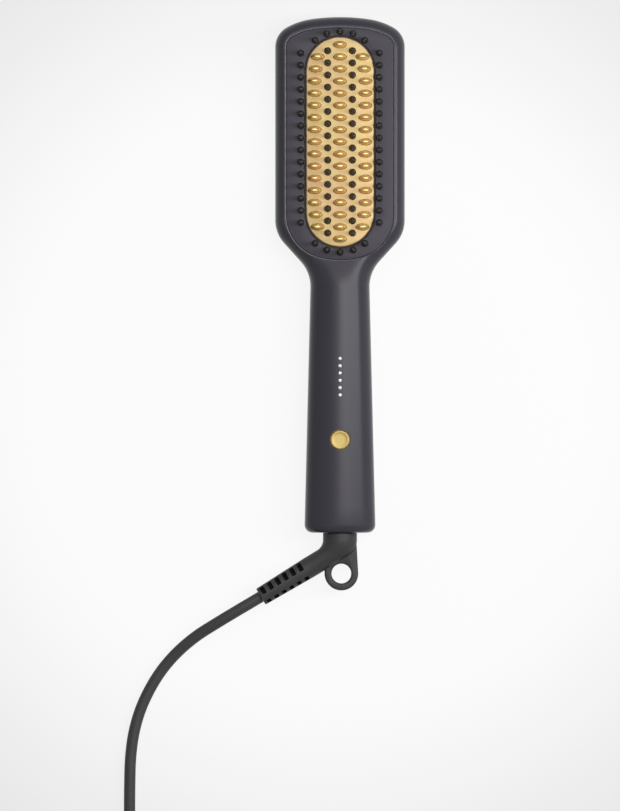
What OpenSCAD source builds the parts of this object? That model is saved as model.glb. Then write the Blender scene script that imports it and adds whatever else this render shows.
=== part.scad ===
// Hair straightening brush with a heated comb plate, lying on its back.
// X runs across the brush, Y towards the top of the head, Z towards the bristles.

/* [Body outline] */
// Length from the end of the handle to the top of the head
body_len = 258; // [250:1:290]
// Width of the head
head_w = 64.8; // [62:0.2:72]
// Radius of the flat arc at the top of the head
crown_r = 101; // [90:1:130]
// Half the width of that arc
crown_half = 14.5; // [12:0.5:16]
// Radius that leads from the top arc to the corners
crown_mid_r = 35; // [33:0.5:40]
// Radius of the head's upper corners
corner_r = 11.3; // [10.5:0.1:13]
// Straight length of the head, from its top to the shoulders
side_len = 101.7; // [99:0.1:115]
// Radius where the head turns into the shoulder
shoulder_r = 17.2; // [14:0.2:20]
// Angle of the shoulder from the long axis
shoulder_turn = 42.2; // [38:0.2:48]
// Radius where the shoulder turns into the neck
neck_r = 19; // [15:0.5:24]
// Width of the neck, the narrowest place
neck_w = 29.6; // [28:0.2:33]
// Width of the handle at its end
handle_end_w = 35.6; // [33:0.2:40]
// Rounding round the end of the handle
end_r = 4; // [2:0.25:5]

/* [Body section] */
// Height of the seam between the two shells above the table
seam_z = 14; // [13:0.25:16]
// Depth that the flat rest takes off the rounded back
rest_flat = 0.2; // [0.1:0.05:0.5]
// Height of the handle's front above the seam
handle_h = 14; // [13.5:0.25:16]
// Roundness of the handle's section, 2 is an ellipse
handle_power = 2.25; // [2:0.05:2.6]
// Distance over which the head's back rounds to flat
back_round = 14; // [11:0.5:16]
// Roundness of the head's back, 2 is an ellipse
back_power = 2.2; // [2:0.1:2.6]
// Height of the head's front rim above the seam
rim_h = 9; // [8.5:0.25:10]
// Width of the sloping outside of the rim
rim_slope_w = 4.1; // [3.5:0.1:4.6]
// Half width of the ellipse that the slope follows
rim_round = 8; // [7:0.25:9]
// Width of the flat land inside the slope
rim_land_w = 1.3; // [0.8:0.1:1.8]
// Thickness of the shell walls
wall = 2; // [1.6:0.1:2.2]
// Thickness of the wall at the end of the handle
end_wall = 3; // [2.5:0.25:4]
// Rounding inside that wall
end_inner_r = 1.5; // [1:0.25:2]

/* [Bristle panel] */
// Distance from the shoulders to the panel's lower edge
panel_tail = 20.1; // [18:0.1:22]
// Radius of the panel's lower edge
panel_low_r = 43; // [38:1:50]
// Radius of the panel's lower corners
panel_corner_r = 22; // [20:0.5:23]
// Open seam round the panel
panel_gap = 0.2; // [0.15:0.05:0.5]
// Depth of the panel's face below the rim
panel_drop = 0.5; // [0.2:0.1:1]
// Thickness of the panel
panel_t = 2.2; // [1.8:0.1:2.6]
// Width of the ledge that carries the panel
ledge_w = 1.6; // [1.2:0.1:2]
// Thickness of that ledge
ledge_t = 1.5; // [1.2:0.1:2]
// Distance between the bristles along each side
bristle_pitch = 6.05; // [5.8:0.05:6.1]
// Stretch of the plate's length beside which there are no bristles
bristle_free = 19; // [16:0.5:24]
// Distance of the rows' middle above the middle of the plate
bristle_shift = 2; // [0:0.1:3]
// Distance of the bristle line from the plate's edge
bristle_off = 2.75; // [2.6:0.05:3.2]
// Bristles round each end of the plate
end_bristles = 5; // [3:2:5]
// Angle between those bristles
end_bristle_step = 19.6; // [17:0.2:21]
// Height of the bristles above the panel
bristle_h = 10; // [7:0.5:12]
// Width of a bristle at its foot
bristle_foot_w = 2.9; // [2.2:0.1:3.2]
// Width of a bristle at its tip
bristle_tip_w = 1.6; // [1.2:0.1:2]

/* [Heater plate] */
// Distance from the side of the head to the gold plate
plate_side = 15.5; // [14.9:0.1:17]
// Length of the plate beyond that of the head's straight sides
plate_over = 3.1; // [0:0.1:4]
// Distance from the top of the head to the plate
plate_margin = 10.3; // [9.8:0.1:12]
// Height of the plate's face above the panel
plate_proud = 0.7; // [0.2:0.1:1.2]
// Thickness of the plate's face
plate_t = 2.5; // [2:0.1:3]
// Depth of the plate's skirt below the face
skirt_h = 3.3; // [3:0.1:4]
// Thickness of the skirt and of its flange
skirt_t = 1.5; // [1.2:0.1:1.8]
// Reach of the flange beyond the plate's edge
flange_w = 2.2; // [1.8:0.1:2.4]
// Open gap between the plate and the panel
plate_gap = 0.8; // [0.6:0.1:1]
// Distance between the rows of comb teeth
tooth_pitch = 6.07; // [5.8:0.01:6.3]
// Distance of the side columns of teeth from the plate's edge
tooth_side = 4.2; // [4.1:0.1:4.8]
// Inward shift of the last two teeth of the side columns
tooth_end_in = [1.5, 0.55];
// Length of a tooth across the plate, at its foot
tooth_len = 6.6; // [5.6:0.1:6.8]
// Length of a tooth at its tip
tooth_tip_len = 3.4; // [2.8:0.1:4]
// Thickness of a tooth at its foot
tooth_w = 3.3; // [2.6:0.1:3.6]
// Length that the blunting takes off each end of a tooth
tooth_blunt = 0.8; // [0.2:0.1:1]
// Height of the teeth
tooth_h = 8; // [6:0.5:10]
// Width of a pin at its foot
pin_w = 3; // [2.4:0.1:3.2]
// Width of a pin at its tip
pin_tip_w = 1.7; // [1.4:0.1:2]
// Height of the pins above the plate
pin_h = 9.6; // [8:0.2:12]
// Clearance of the pins in the plate's holes
pin_gap = 0.12; // [0.05:0.01:0.2]

/* [Heater inside] */
// Distance between the ceramic heater and the pins beside it
heater_gap = 0.67; // [0.4:0.01:1.2]
// Length of the ceramic heater
heater_len = 70; // [60:1:80]
// Thickness of the ceramic heater
heater_t = 1.3; // [1:0.1:1.4]
// Thickness of the pin carrier
carrier_t = 1.6; // [1.5:0.1:2]
// Width of the pin carrier beyond the pins
carrier_edge = 1.03; // [0.8:0.01:1.3]
// Thickness of the steel bracket
bracket_t = 1; // [0.8:0.1:1.2]
// Length of heater that shows beyond each end of the bracket
bracket_short = 5; // [3:0.5:10]
// Height of the heat shield above the table
shield_z = 8; // [7:0.5:9]
// Thickness of the heat shield
shield_t = 0.8; // [0.5:0.1:1]
// Reach of the heat shield beyond the plate's long sides
shield_over = 3.1; // [2:0.1:4]
// Length of plate beyond each end of the heat shield
shield_short = 2.4; // [1:0.1:6]

/* [Button and lights] */
// Distance of the button from the end of the handle
button_at = 46.5; // [42:0.5:52]
// Width of the button
button_w = 9.6; // [8:0.1:11]
// Gap round the button
button_gap = 0.35; // [0.3:0.05:0.5]
// Height of the button above the handle
button_proud = 0.7; // [0.3:0.1:1.2]
// Travel of the button
button_travel = 0.6; // [0.3:0.1:0.7]
// Depth of the dish in the button
button_dish = 0.25; // [0.1:0.05:0.4]
// Distance of the middle of the row of lights from the end of the handle
lights_at = 78; // [74:0.5:84]
// Number of lights
lights = 6; // [3:1:7]
// Distance between the lights
light_pitch = 3.65; // [3.2:0.05:3.8]
// Width of a light
light_w = 1.6; // [1.4:0.1:2.2]

/* [Electronics] */
// Width of the control board
board_w = 19; // [17:0.5:19]
// Distance kept between the control board and the bristle panel
board_clear = 17.2; // [15:0.1:24]
// Distance of the board from the end of the handle
board_at = 31; // [30.5:0.5:32]
// Height of the board's underside above the table
board_z = 19; // [18.5:0.25:19.25]
// Thickness of the board
board_t = 1.2; // [1:0.1:1.6]

/* [Swivel and cord guard] */
// Width of the collar below the handle
collar_w = 17; // [16:0.2:19]
// Gap between the collar and the handle
collar_gap = 0.4; // [0.3:0.05:0.6]
// Angle between the cord guard and the handle's axis
guard_turn = 58.8; // [55:0.2:62]
// Distance below the handle where the two axes cross
guard_cross = 8.1; // [7.6:0.1:9]
// Distance from that crossing to the end of the guard
guard_len = 46.3; // [44:0.1:52]
// Width of the guard where it leaves the bend
guard_w = 10.6; // [10:0.1:11.4]
// Width of the guard at its end
guard_end_w = 9.25; // [8.8:0.05:10]
// Outer radius of the bend
bend_outer_r = 9.4; // [8:0.2:10]
// Inner radius of the bend
bend_inner_r = 6.2; // [5:0.2:7]
// Flex slots along each side of the guard
slots = 6; // [4:1:6]
// Distance between the slots
slot_pitch = 4.36; // [4:0.02:4.4]
// Width of a slot
slot_w = 2; // [1.4:0.1:2.4]
// Start and end of the slots, as angles from the middle of the guard's front, on its two sides
slot_up = [5, 62];
slot_down = [39, 82];
// Radius of the core left inside the slots
slot_core_r = 3.5; // [3.3:0.1:3.8]
// Radius of the hole in the hanging loop
loop_hole_r = 4.9; // [4:0.1:5.2]
// Width of the rim round that hole
loop_rim_w = 3.55; // [3:0.05:4]
// Place of the hole, across from the axis and below the handle
loop_at = [0.7, -20.5];
// Thickness of the hanging loop
loop_t = 3.2; // [2.6:0.2:4.4]
// Radius of the swivel barrel
barrel_r = 5.7; // [5.2:0.1:6]
// Running clearance of the barrel in its bush
barrel_gap = 0.05; // [0.02:0.01:0.08]
// Outer radius of the bush
bush_r = 7.9; // [7.6:0.1:8.4]
// Length of the bush
bush_len = 7; // [6.5:0.25:8]

/* [Cord and plug] */
// Diameter of the cord
cord_d = 5.7; // [5.3:0.1:6]
// Distance between neighbouring turns of the coil
coil_step = 6.2; // [6.1:0.05:6.6]
// Radius of the innermost turn
coil_in_r = 24.4; // [24:0.2:28]
// Turns on the way in
coil_in_turns = 3.5;
// Turns on the way out
coil_out_turns = 3.25;
// Length of the plug's body
plug_len = 34; // [30:1:40]
// Width of the plug's face
plug_face_w = 35; // [33:0.5:37]
// Thickness of the plug
plug_thick = 14; // [13:0.5:16]
// Diameter of the plug's pins
plug_pin_d = 4; // [3.9:0.05:4.1]
// Length of the plug's pins
plug_pin_len = 19; // [18:0.5:20]
// Distance between the plug's pins
plug_pin_pitch = 18.6; // [18:0.1:19.2]

/* [Hidden] */
$fn = 48;

charcoal = [0.24, 0.23, 0.26];
guard_grey = [0.26, 0.26, 0.27];
gold = [0.88, 0.74, 0.42];
steel = [0.72, 0.73, 0.75];
brass = [0.80, 0.65, 0.30];
copper_red = [0.70, 0.18, 0.14];

half_head = head_w / 2;
half_neck = neck_w / 2;
half_end = handle_end_w / 2;
top_y = body_len / 2;
end_y = -body_len / 2;
touch = 0.1; // clearance between pieces that seat on each other
sink = 0.5; // how far a rib or boss is rooted in its wall

// Centres and angles of the outline's arcs, angles clockwise from +Y
crown_c = [0, top_y - crown_r];
crown_a = asin(crown_half / crown_r);
mid_c = crown_c + (crown_r - crown_mid_r) * [sin(crown_a), cos(crown_a)];
mid_a = asin((half_head - corner_r - mid_c.x) / (crown_mid_r - corner_r));
corner_c = mid_c + (crown_mid_r - corner_r) * [sin(mid_a), cos(mid_a)];
shoulder_c = [half_head - shoulder_r, top_y - side_len];
shoulder_run = (half_head - half_neck - (shoulder_r + neck_r) * (1 - cos(shoulder_turn)))
    / sin(shoulder_turn);
shoulder_a = 90 + shoulder_turn;
run_start = shoulder_c + shoulder_r * [sin(shoulder_a), cos(shoulder_a)];
run_end = run_start - shoulder_run * [sin(shoulder_turn), cos(shoulder_turn)];
neck_c = run_end + neck_r * [sin(shoulder_a), cos(shoulder_a)];
neck_y = neck_c.y;

// Sections across the body: the head's meet on a short spine, the handle's on the axis
section_cols = 8;
fan_y = mix(corner_c.y, shoulder_c.y, 0.32);
fan_pull = 0.55;
rim_cols = [for (j = [0:5]) pow(j / 5, 1.75)];
rear_d = seam_z + rest_flat;
slope_h = rim_h / sqrt(1 - pow(1 - rim_slope_w / rim_round, 2));
handle_rows = 5;
end_rows = 4;

// Heights of the bristle panel and of the heater below it
rim_z = seam_z + rim_h;
panel_z = rim_z - panel_drop;
ledge_z = panel_z - panel_t;
plate_z = panel_z + plate_proud;
pocket_z = plate_z - plate_t;
skirt_z = pocket_z - skirt_h;
flange_z = skirt_z + 1.2;
carrier_z = pocket_z - carrier_t;
bracket_z = carrier_z - bracket_t;
plate_r = half_head - plate_side;
plate_len = side_len + plate_over;
plate_y = top_y - plate_margin - plate_len / 2;
plate_arc_y = plate_len / 2 - plate_r;
open_in = rim_slope_w + rim_land_w;
bristle_rows = 1 + floor((plate_len - bristle_free) / bristle_pitch);
tooth_x = plate_r - tooth_side;
pin_x = 0.486 * tooth_x;
heater_w = 2 * (pin_x - pin_w / 2 - heater_gap);
carrier_w = 2 * (pin_x + pin_w / 2 + carrier_edge);
bracket_len = heater_len - 2 * bracket_short;
bracket_screw_at = [tooth_x - 0.3, 0.4 * bracket_len];
shield_r = plate_r + shield_over;
shield_len = plate_len - 2 * shield_short;

// The panel's lower corners, between its sides and its lower edge
panel_low_c = [0, top_y - side_len - panel_tail + panel_low_r];
panel_corner_x = half_head - open_in - panel_corner_r;
panel_corner_c = [panel_corner_x,
    panel_low_c.y - sqrt(pow(panel_low_r - panel_corner_r, 2) - pow(panel_corner_x, 2))];
panel_low_a = asin(panel_corner_x / (panel_low_r - panel_corner_r));

// Screws that join the shells, under the panel's corners and behind the handle
ear_r = 4.6;
ear_t = 3.5;
ear_bottom = ledge_z - ear_t;
ear_low_r = panel_corner_r - 2.8;
ears = [corner_c + 3 * [sin(45), cos(45)], panel_corner_c + ear_low_r * [sin(114), cos(114)]];
screw_r = 1.2;
screw_head_r = 2.3;
screw_head_h = 1.7;
pilot_gap = 0.05;
head_screw_len = 8;
small_screw_r = 0.9;
small_head_r = 1.7;
small_head_h = 1.1;
board_screw_len = 5;
handle_screw_at = 24.5;
handle_boss_z = 17;
handle_screw_seat = 4;

// Button, switch and lights above the board
board_top = board_z + board_t;
handle_z = seam_z + handle_h;
switch_h = 3;
plunger_h = 0.8;
plunger_r = 1.4;
button_foot_z = board_top + switch_h + plunger_h;
button_flange_h = 1;
led_h = 0.8;
guide_z = board_top + led_h + 0.3;
guide_top = handle_z - wall - 0.3;
board_y = end_y + board_at;
board_len = panel_low_c.y - panel_low_r - board_clear - board_y;
post_at = [7, 4];
chip_gap = 3;
lead_r = 0.8;
lead_x = 3;
lead_close = 2.4;
lead_bend = 2.5;
lead_run = 8;
lead_rise = 6;
post_r = 2;

// Swivel, measured up from the end of the handle
flange_gap = 0.4;
barrel_flange_r = barrel_r + 1.9;
barrel_flange_t = 1.5;
barrel_flange_at = bush_len + flange_gap;
hub_r = 3.6;
hub_len = 7.6;
hub_at = barrel_flange_at + barrel_flange_t;
ring_t = 0.8;
ring_w = 2;
ring_at = [hub_at + 1.1, hub_at + 4.6];
socket_depth = 5;
socket_r = 4.6;
block_top = 5.5;
block_w = 10;

// Cord guard, in the plane of the seam, measured from the end of the handle
guard_dir = [-sin(guard_turn), -cos(guard_turn)];
guard_up = [-cos(guard_turn), sin(guard_turn)];
guard_foot = 17.6;
guard_end = [0, -guard_cross] + guard_len * guard_dir;
guard_sides = 28;

// The cord's loose run from the guard to the coil, x and y from the end of the handle
cord_run = [
    [-45, -35.3, 14], [-51.6, -39.2, 13.6], [-61.8, -45.4, 11.6], [-72, -52, 8.6],
    [-81.2, -59.8, 5.5], [-89.1, -68.8, 3.5], [-95.5, -79, 2.9], [-100.4, -90, 2.85],
    [-103.5, -101.5, 2.85], [-105, -113.5, 2.85], [-105.4, -126, 2.85], [-105.5, -138, 2.85],
    [-105.5, -150, 2.85], [-105.4, -162, 2.85], [-105.2, -174, 2.85], [-105.1, -186, 2.85]
];
cord_sides = 10;
cord_r = cord_d / 2;
cord_start = concat(guard_end + touch * guard_dir, [seam_z]);
coil_sides = 6;
coil_rings = 24;
coil_r = coil_in_r + coil_step * coil_in_turns;
coil_end_r = coil_in_r + coil_step * coil_out_turns;
coil_at = [-105.1 + coil_r, -200];
coil_lead = cord_d;
coil_dip = coil_step / (2 * PI);
coil_turns = coil_in_turns + 0.5 + coil_out_turns;
// The run from the coil to the plug, from the coil's last turn
tail_run = [[10, 0, 0], [20, 0, -0.2], [30, -0.3, -0.7], [40, -0.8, -1.3], [50, -1.2, -1.8]];
tail_end = [60, -1.2, -2.05];

function mix(a, b, f) = a + (b - a) * f;
function clamp01(v) = max(0, min(1, v));
function unit(v) = v / norm(v);
// Points of an arc with their outward directions
function arc(c, r, a0, a1, n, first = 0) = [
    for (i = [first:n]) let (a = mix(a0, a1, i / n))
        [c.x + r * sin(a), c.y + r * cos(a), sin(a), cos(a)]
];
// The same for an arc that curves inwards
function hollow_arc(c, r, a0, a1, n, first = 0) = [
    for (i = [first:n]) let (a = mix(a0, a1, i / n))
        [c.x - r * sin(a), c.y - r * cos(a), sin(a), cos(a)]
];
// Half of a symmetric outline made whole
function both_sides(half) = concat(
    [for (p = half) [p.x, p.y]],
    [for (i = [len(half) - 2:-1:1]) [-half[i].x, half[i].y]]
);

// The body's right edge, from the top of the head to the neck
edge_rows = concat(
    arc(crown_c, crown_r, 0, crown_a, 3),
    arc(mid_c, crown_mid_r, crown_a, mid_a, 4, 1),
    arc(corner_c, corner_r, mid_a, 90, 6, 1),
    [[half_head, mix(corner_c.y, fan_y, 0.5), 1, 0], [half_head, fan_y, 1, 0]],
    arc(shoulder_c, shoulder_r, 90, shoulder_a, 6),
    [concat((run_start + run_end) / 2, [sin(shoulder_a), cos(shoulder_a)])],
    hollow_arc(neck_c, neck_r, shoulder_a, 90, 6)
);
function handle_half(y) = mix(half_neck, half_end, (neck_y - y) / (neck_y - end_y));
// All rows of a body half: x, y, outward direction and the rounding's drop
function body_rows(inset, at_end, r) = concat(
    [for (p = edge_rows) [p.x - inset * p[2], p.y - inset * p[3], p[2], p[3], 0]],
    [for (i = [1:handle_rows])
        let (y = mix(neck_y, end_y + at_end + r, i / handle_rows))
            [handle_half(y) - inset, y, 1, 0, 0]],
    [for (i = [1:end_rows])
        let (a = 90 * i / end_rows, y = end_y + at_end + r * (1 - sin(a)))
            [handle_half(y) - inset - r * (1 - cos(a)), y, 1, 0, r * (1 - cos(a))]]
);

// Distance in from the edge and height from the seam, at column j of a section
function rim_end(inset) = (rim_round - inset)
    * (1 - sqrt(1 - pow((rim_h - inset) / (slope_h - inset), 2)));
function front_head(j, inset, reach, slant) =
    let (last = len(rim_cols) - 1, s = rim_end(inset) * rim_cols[min(j, last)])
        j <= last
            ? [s / slant, (slope_h - inset) * sqrt(1 - pow(1 - s / (rim_round - inset), 2))]
            : [mix(s / slant, reach, (j - last) / (section_cols - last)), rim_h - inset];
function rear_head(j, inset, reach, slant) =
    let (last = section_cols - 2, a = 90 * min(j, last) / last, k = 2 / back_power,
         s = min((back_round - inset) * (1 - pow(cos(a), k)) / slant, 0.9 * reach))
        j <= last
            ? [s, (rear_d - inset) * pow(sin(a), k)]
            : [mix(s, reach, (j - last) / 2), rear_d - inset];
function handle_section(j, h, reach) =
    let (a = 90 * j / section_cols, k = 2 / handle_power)
        [reach * (1 - pow(cos(a), k)), h * pow(sin(a), k)];
function neck_blend(y) =
    let (u = clamp01((shoulder_c.y - y) / (shoulder_c.y - neck_y))) u * u * (3 - 2 * u);

// One section, from the left edge over the middle to the right edge
function section(row, front, inset, skirt) =
    let (
        p = [row.x, row.y],
        s = [0, row.y > fan_y ? mix(fan_y, row.y, fan_pull) : row.y],
        reach = norm(p - s),
        slant = max(0.5, (p - s) * [row[2], row[3]] / reach),
        m = neck_blend(row.y),
        up = front ? 1 : -1,
        h = (front ? handle_h : rear_d) - inset - row[4],
        right = [for (j = [0:section_cols])
            let (
                head = front ? front_head(j, inset, reach, slant)
                    : rear_head(j, inset, reach, slant),
                hand = handle_section(j, h, reach),
                d = mix(head, hand, m),
                q = p + (s - p) * d.x / reach
            ) [q.x, q.y, seam_z + up * d.y]],
        edge = right[0],
        foot = seam_z - up * skirt
    ) concat(
        skirt > 0 ? [[-edge.x, edge.y, foot]] : [],
        [for (j = [0:section_cols - 1]) [-right[j].x, right[j].y, right[j].z]],
        [for (j = [section_cols:-1:0]) right[j]],
        skirt > 0 ? [[edge.x, edge.y, foot]] : []
    );

// A solid half of the body, drawn in by an inset, with its seam face flat
module body_half(front, inset = 0, at_end = 0, r = end_r, skirt = 0) {
    rings = [for (row = body_rows(inset, at_end, r)) section(row, front, inset, skirt)];
    n = len(rings[0]);
    last = len(rings) - 1;
    function at(i, c) = let (k = c % n) i * n + (i == 0 ? min(k, n - 1 - k) : k);
    function whole(t) = t[0] != t[1] && t[1] != t[2] && t[0] != t[2];
    tris = [for (i = [0:last - 1], c = [0:n - 1])
        for (t = [[at(i, c), at(i, c + 1), at(i + 1, c + 1)],
                  [at(i, c), at(i + 1, c + 1), at(i + 1, c)]])
            if (whole(t)) front ? t : [t[2], t[1], t[0]]];
    cap = [for (c = [0:n - 1]) last * n + (front ? c : n - 1 - c)];
    polyhedron(points = [for (ring = rings) each ring], faces = concat(tris, [cap]));
}

// The outline of the panel's opening, drawn in by an inset
function panel_outline(inset) = both_sides(concat(
    arc(crown_c, crown_r - open_in - inset, 0, crown_a, 4),
    arc(mid_c, crown_mid_r - open_in - inset, crown_a, mid_a, 5, 1),
    arc(corner_c, corner_r - open_in - inset, mid_a, 90, 7, 1),
    arc(panel_corner_c, panel_corner_r - inset, 90, 180 - panel_low_a, 12),
    arc(panel_low_c, panel_low_r - inset, 180 - panel_low_a, 180, 5, 1)
));

// A bar with round ends along Y, standing on z = 0
module stadium(r, length, h) {
    flat = length - 2 * r;
    translate([-r, -flat / 2, 0]) cube([2 * r, flat, h]);
    translate([0, flat / 2, 0]) rotate_extrude(angle = 180) square([r, h]);
    translate([0, -flat / 2, 0]) rotate([0, 0, 180]) rotate_extrude(angle = 180) square([r, h]);
}

module stadium_ring(r_in, r_out, h) {
    grow = 2 * (plate_arc_y);
    difference() {
        stadium(r_out, grow + 2 * r_out, h);
        translate([0, 0, -1]) stadium(r_in, grow + 2 * r_in, h + 2);
    }
}

module at_plate(z) { translate([0, plate_y, z]) children(); }
module at_end(up = 0, z = seam_z) { translate([0, end_y + up, z]) children(); }
// A cylinder along Y from the end of the handle
module along_y(r, from, to) { at_end(from) rotate([-90, 0, 0]) cylinder(r = r, h = to - from); }
module each_ear() { for (p = ears, s = [-1, 1]) translate([s * p.x, p.y, 0]) children(); }
module each_post() {
    for (s = [-1, 1], y = [post_at.y, board_len - post_at.y])
        translate([s * post_at.x, board_y + y, 0]) children();
}

module front_shell() {
    color(charcoal) difference() {
        body_half(true);
        difference() {
            body_half(true, wall, end_wall, end_inner_r, 1);
            translate([0, 0, ledge_z - ledge_t]) linear_extrude(handle_z)
                polygon(panel_outline(-ledge_w));
            each_ear() translate([0, 0, ear_bottom]) cylinder(r = ear_r, h = ear_t + ledge_t);
            translate([0, end_y + handle_screw_at, handle_boss_z]) cylinder(r = 3.2, h = handle_z);
        }
        translate([0, 0, ledge_z]) linear_extrude(handle_z) polygon(panel_outline(0));
        translate([0, 0, seam_z - 1]) linear_extrude(ledge_z - seam_z + 2) difference() {
            polygon(panel_outline(ledge_w));
            each_ear() circle(r = ear_r);
        }
        each_ear() translate([0, 0, seam_z]) cylinder(r = screw_r + pilot_gap, h = handle_z);
        each_ear() translate([0, 0, ledge_z - screw_head_h - touch])
            cylinder(r = screw_head_r + pilot_gap, h = handle_z);
        translate([0, end_y + handle_screw_at, seam_z])
            cylinder(r = screw_r + pilot_gap, h = handle_z - seam_z - 3.5);
        translate([0, end_y + button_at, seam_z]) cylinder(r = button_w / 2 + button_gap, h = handle_z);
        each_light() translate([0, 0, seam_z]) cylinder(r = light_w / 2 + pilot_gap, h = handle_z);
        along_y(bush_r + touch, -1, end_wall + 2);
    }
}

module each_light() {
    for (i = [0:lights - 1])
        translate([0, end_y + lights_at + (i - (lights - 1) / 2) * light_pitch, 0]) children();
}

module rear_shell() {
    color(charcoal) difference() {
        union() {
            difference() {
                body_half(false);
                body_half(false, wall, end_wall, end_inner_r, 1);
                translate([-head_w, -body_len, -seam_z]) cube([2 * head_w, 2 * body_len, seam_z]);
            }
            each_ear() translate([0, 0, wall - sink]) cylinder(r = 3.2, h = ear_bottom - wall + sink);
            each_post() translate([0, 0, wall]) cylinder(r = post_r, h = board_z - wall);
            translate([0, end_y + handle_screw_at, wall - sink])
                cylinder(r = 3.6, h = handle_boss_z - wall + sink);
            shield_posts();
            translate([-block_w / 2, end_y + hub_at, wall - sink])
                cube([block_w, hub_len, 2.6 - wall + sink]);
        }
        each_ear() translate([0, 0, ear_bottom - head_screw_len])
            cylinder(r = screw_r + pilot_gap, h = head_screw_len + 1);
        each_post() translate([0, 0, board_z - board_screw_len])
            cylinder(r = small_screw_r + pilot_gap, h = board_screw_len + 1);
        translate([0, end_y + handle_screw_at, -1]) cylinder(r = screw_r + pilot_gap, h = seam_z + 5);
        translate([0, end_y + handle_screw_at, -1])
            cylinder(r = screw_head_r + 0.3, h = handle_screw_seat + 1);
        along_y(bush_r + touch, -1, end_wall + 2);
    }
}

module shield_posts() {
    for (sx = [-1, 1], sy = [-1, 1])
        translate([sx * (shield_r - 3), plate_y + sy * (shield_len / 2 - 12), wall - sink])
            cylinder(r = post_r, h = shield_z - wall + sink);
}

// A round spike with a blunt tip
module spike(foot_w, tip_w, h) {
    blunt = tip_w * 0.35;
    rotate_extrude() polygon([
        [0, 0], [foot_w / 2, 0], [tip_w / 2, h - blunt], [tip_w * 0.3, h - blunt * 0.2], [0, h]
    ]);
}

module bristle_panel() {
    line_r = plate_r + bristle_off;
    color([0.27, 0.26, 0.29]) difference() {
        union() {
            translate([0, 0, ledge_z]) linear_extrude(panel_t) polygon(panel_outline(panel_gap));
            at_plate(panel_z - sink) {
                for (s = [-1, 1], i = [0:bristle_rows - 1])
                    translate([s * line_r, bristle_shift
                        + (i - (bristle_rows - 1) / 2) * bristle_pitch, 0]) bristle();
                for (s = [-1, 1], i = [0:end_bristles - 1])
                    let (a = (i - (end_bristles - 1) / 2) * end_bristle_step)
                        translate([line_r * sin(a), s * (plate_arc_y + line_r * cos(a)), 0])
                            bristle();
            }
        }
        at_plate(ledge_z - 1) stadium(plate_r + plate_gap, plate_len + 2 * plate_gap, panel_t + 2);
    }
}

module bristle() { spike(bristle_foot_w, bristle_tip_w, bristle_h + sink); }

// Black ring that holds the plate in the panel and keeps its heat off it
module plate_seal() {
    color([0.1, 0.1, 0.1]) {
        at_plate(flange_z + touch) stadium_ring(plate_r + touch, plate_r + flange_w,
            ledge_z - flange_z - 2 * touch);
        at_plate(ledge_z - sink) stadium_ring(plate_r + touch, plate_r + plate_gap - touch,
            sink + panel_t / 2);
    }
}

// A lens shaped tooth that tapers to a blunt tip
module tooth() {
    bow = (pow(tooth_len / 2 + tooth_blunt, 2) + pow(tooth_w / 2, 2)) / tooth_w;
    lean = (tooth_len - tooth_tip_len) / 2 * 0.62;
    top = tooth_h - 0.7;
    for_bow = [[0, 0], [bow, 0], [bow - lean, top + sink], [bow - lean - 0.35, tooth_h + sink],
        [0, tooth_h + sink]];
    for_end = [[0, 0], [tooth_len / 2, 0], [tooth_tip_len / 2, top + sink],
        [tooth_tip_len / 2 - 0.5, tooth_h + sink], [0, tooth_h + sink]];
    intersection() {
        translate([0, bow - tooth_w / 2, 0]) rotate_extrude() polygon(for_bow);
        translate([0, tooth_w / 2 - bow, 0]) rotate_extrude() polygon(for_bow);
        rotate_extrude() polygon(for_end);
    }
}

tooth_steps = floor((plate_len / 2 - tooth_w) / tooth_pitch);
module each_pin() {
    for (s = [-1, 1], i = [-tooth_steps:tooth_steps - 1])
        translate([s * pin_x, (i + 0.5) * tooth_pitch, 0]) children();
}

module heater_plate() {
    side_steps = tooth_steps - 1;
    color(gold) difference() {
        union() {
            at_plate(skirt_z) stadium(plate_r, plate_len, plate_z - skirt_z);
            at_plate(skirt_z) stadium(plate_r + flange_w, plate_len + 2 * flange_w, flange_z - skirt_z);
            at_plate(plate_z - sink) {
                for (i = [-tooth_steps:tooth_steps]) translate([0, i * tooth_pitch, 0]) tooth();
                for (s = [-1, 1], i = [-side_steps:side_steps])
                    let (k = side_steps - abs(i),
                         x = tooth_x - (k < len(tooth_end_in) ? tooth_end_in[k] : 0))
                        translate([s * x, i * tooth_pitch, 0]) tooth();
            }
        }
        difference() {
            at_plate(skirt_z - 1)
                stadium(plate_r - skirt_t, plate_len - 2 * skirt_t, skirt_h + 1);
            each_bracket_screw() translate([0, 0, carrier_z]) cylinder(r = 2.6, h = plate_t + skirt_h);
        }
        at_plate(pocket_z - 1) each_pin() cylinder(r = pin_w / 2 + pin_gap, h = plate_t + 2);
        each_bracket_screw() translate([0, 0, carrier_z - 1]) cylinder(r = small_screw_r + pilot_gap, h = carrier_t + 1.4);
    }
}

module each_bracket_screw() {
    for (sx = [-1, 1], sy = [-1, 1])
        translate([sx * bracket_screw_at.x, plate_y + sy * bracket_screw_at.y, 0]) children();
}

module pin_carrier() {
    color([0.13, 0.13, 0.14]) {
        difference() {
            at_plate(carrier_z) stadium(carrier_w / 2, 2 * (tooth_steps + 0.4) * tooth_pitch, carrier_t);
            at_plate(carrier_z - 1) translate([-heater_w / 2 - touch, -heater_len / 2 - touch, 0])
                cube([heater_w + 2 * touch, heater_len + 2 * touch, carrier_t + 2]);
        }
        at_plate(pocket_z - touch) each_pin()
            spike(pin_w, pin_tip_w, pin_h + plate_t + touch);
    }
}

module heater_strip() {
    color([0.93, 0.91, 0.87]) at_plate(pocket_z - heater_t)
        translate([-heater_w / 2, -heater_len / 2, 0]) cube([heater_w, heater_len, heater_t]);
}

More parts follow.
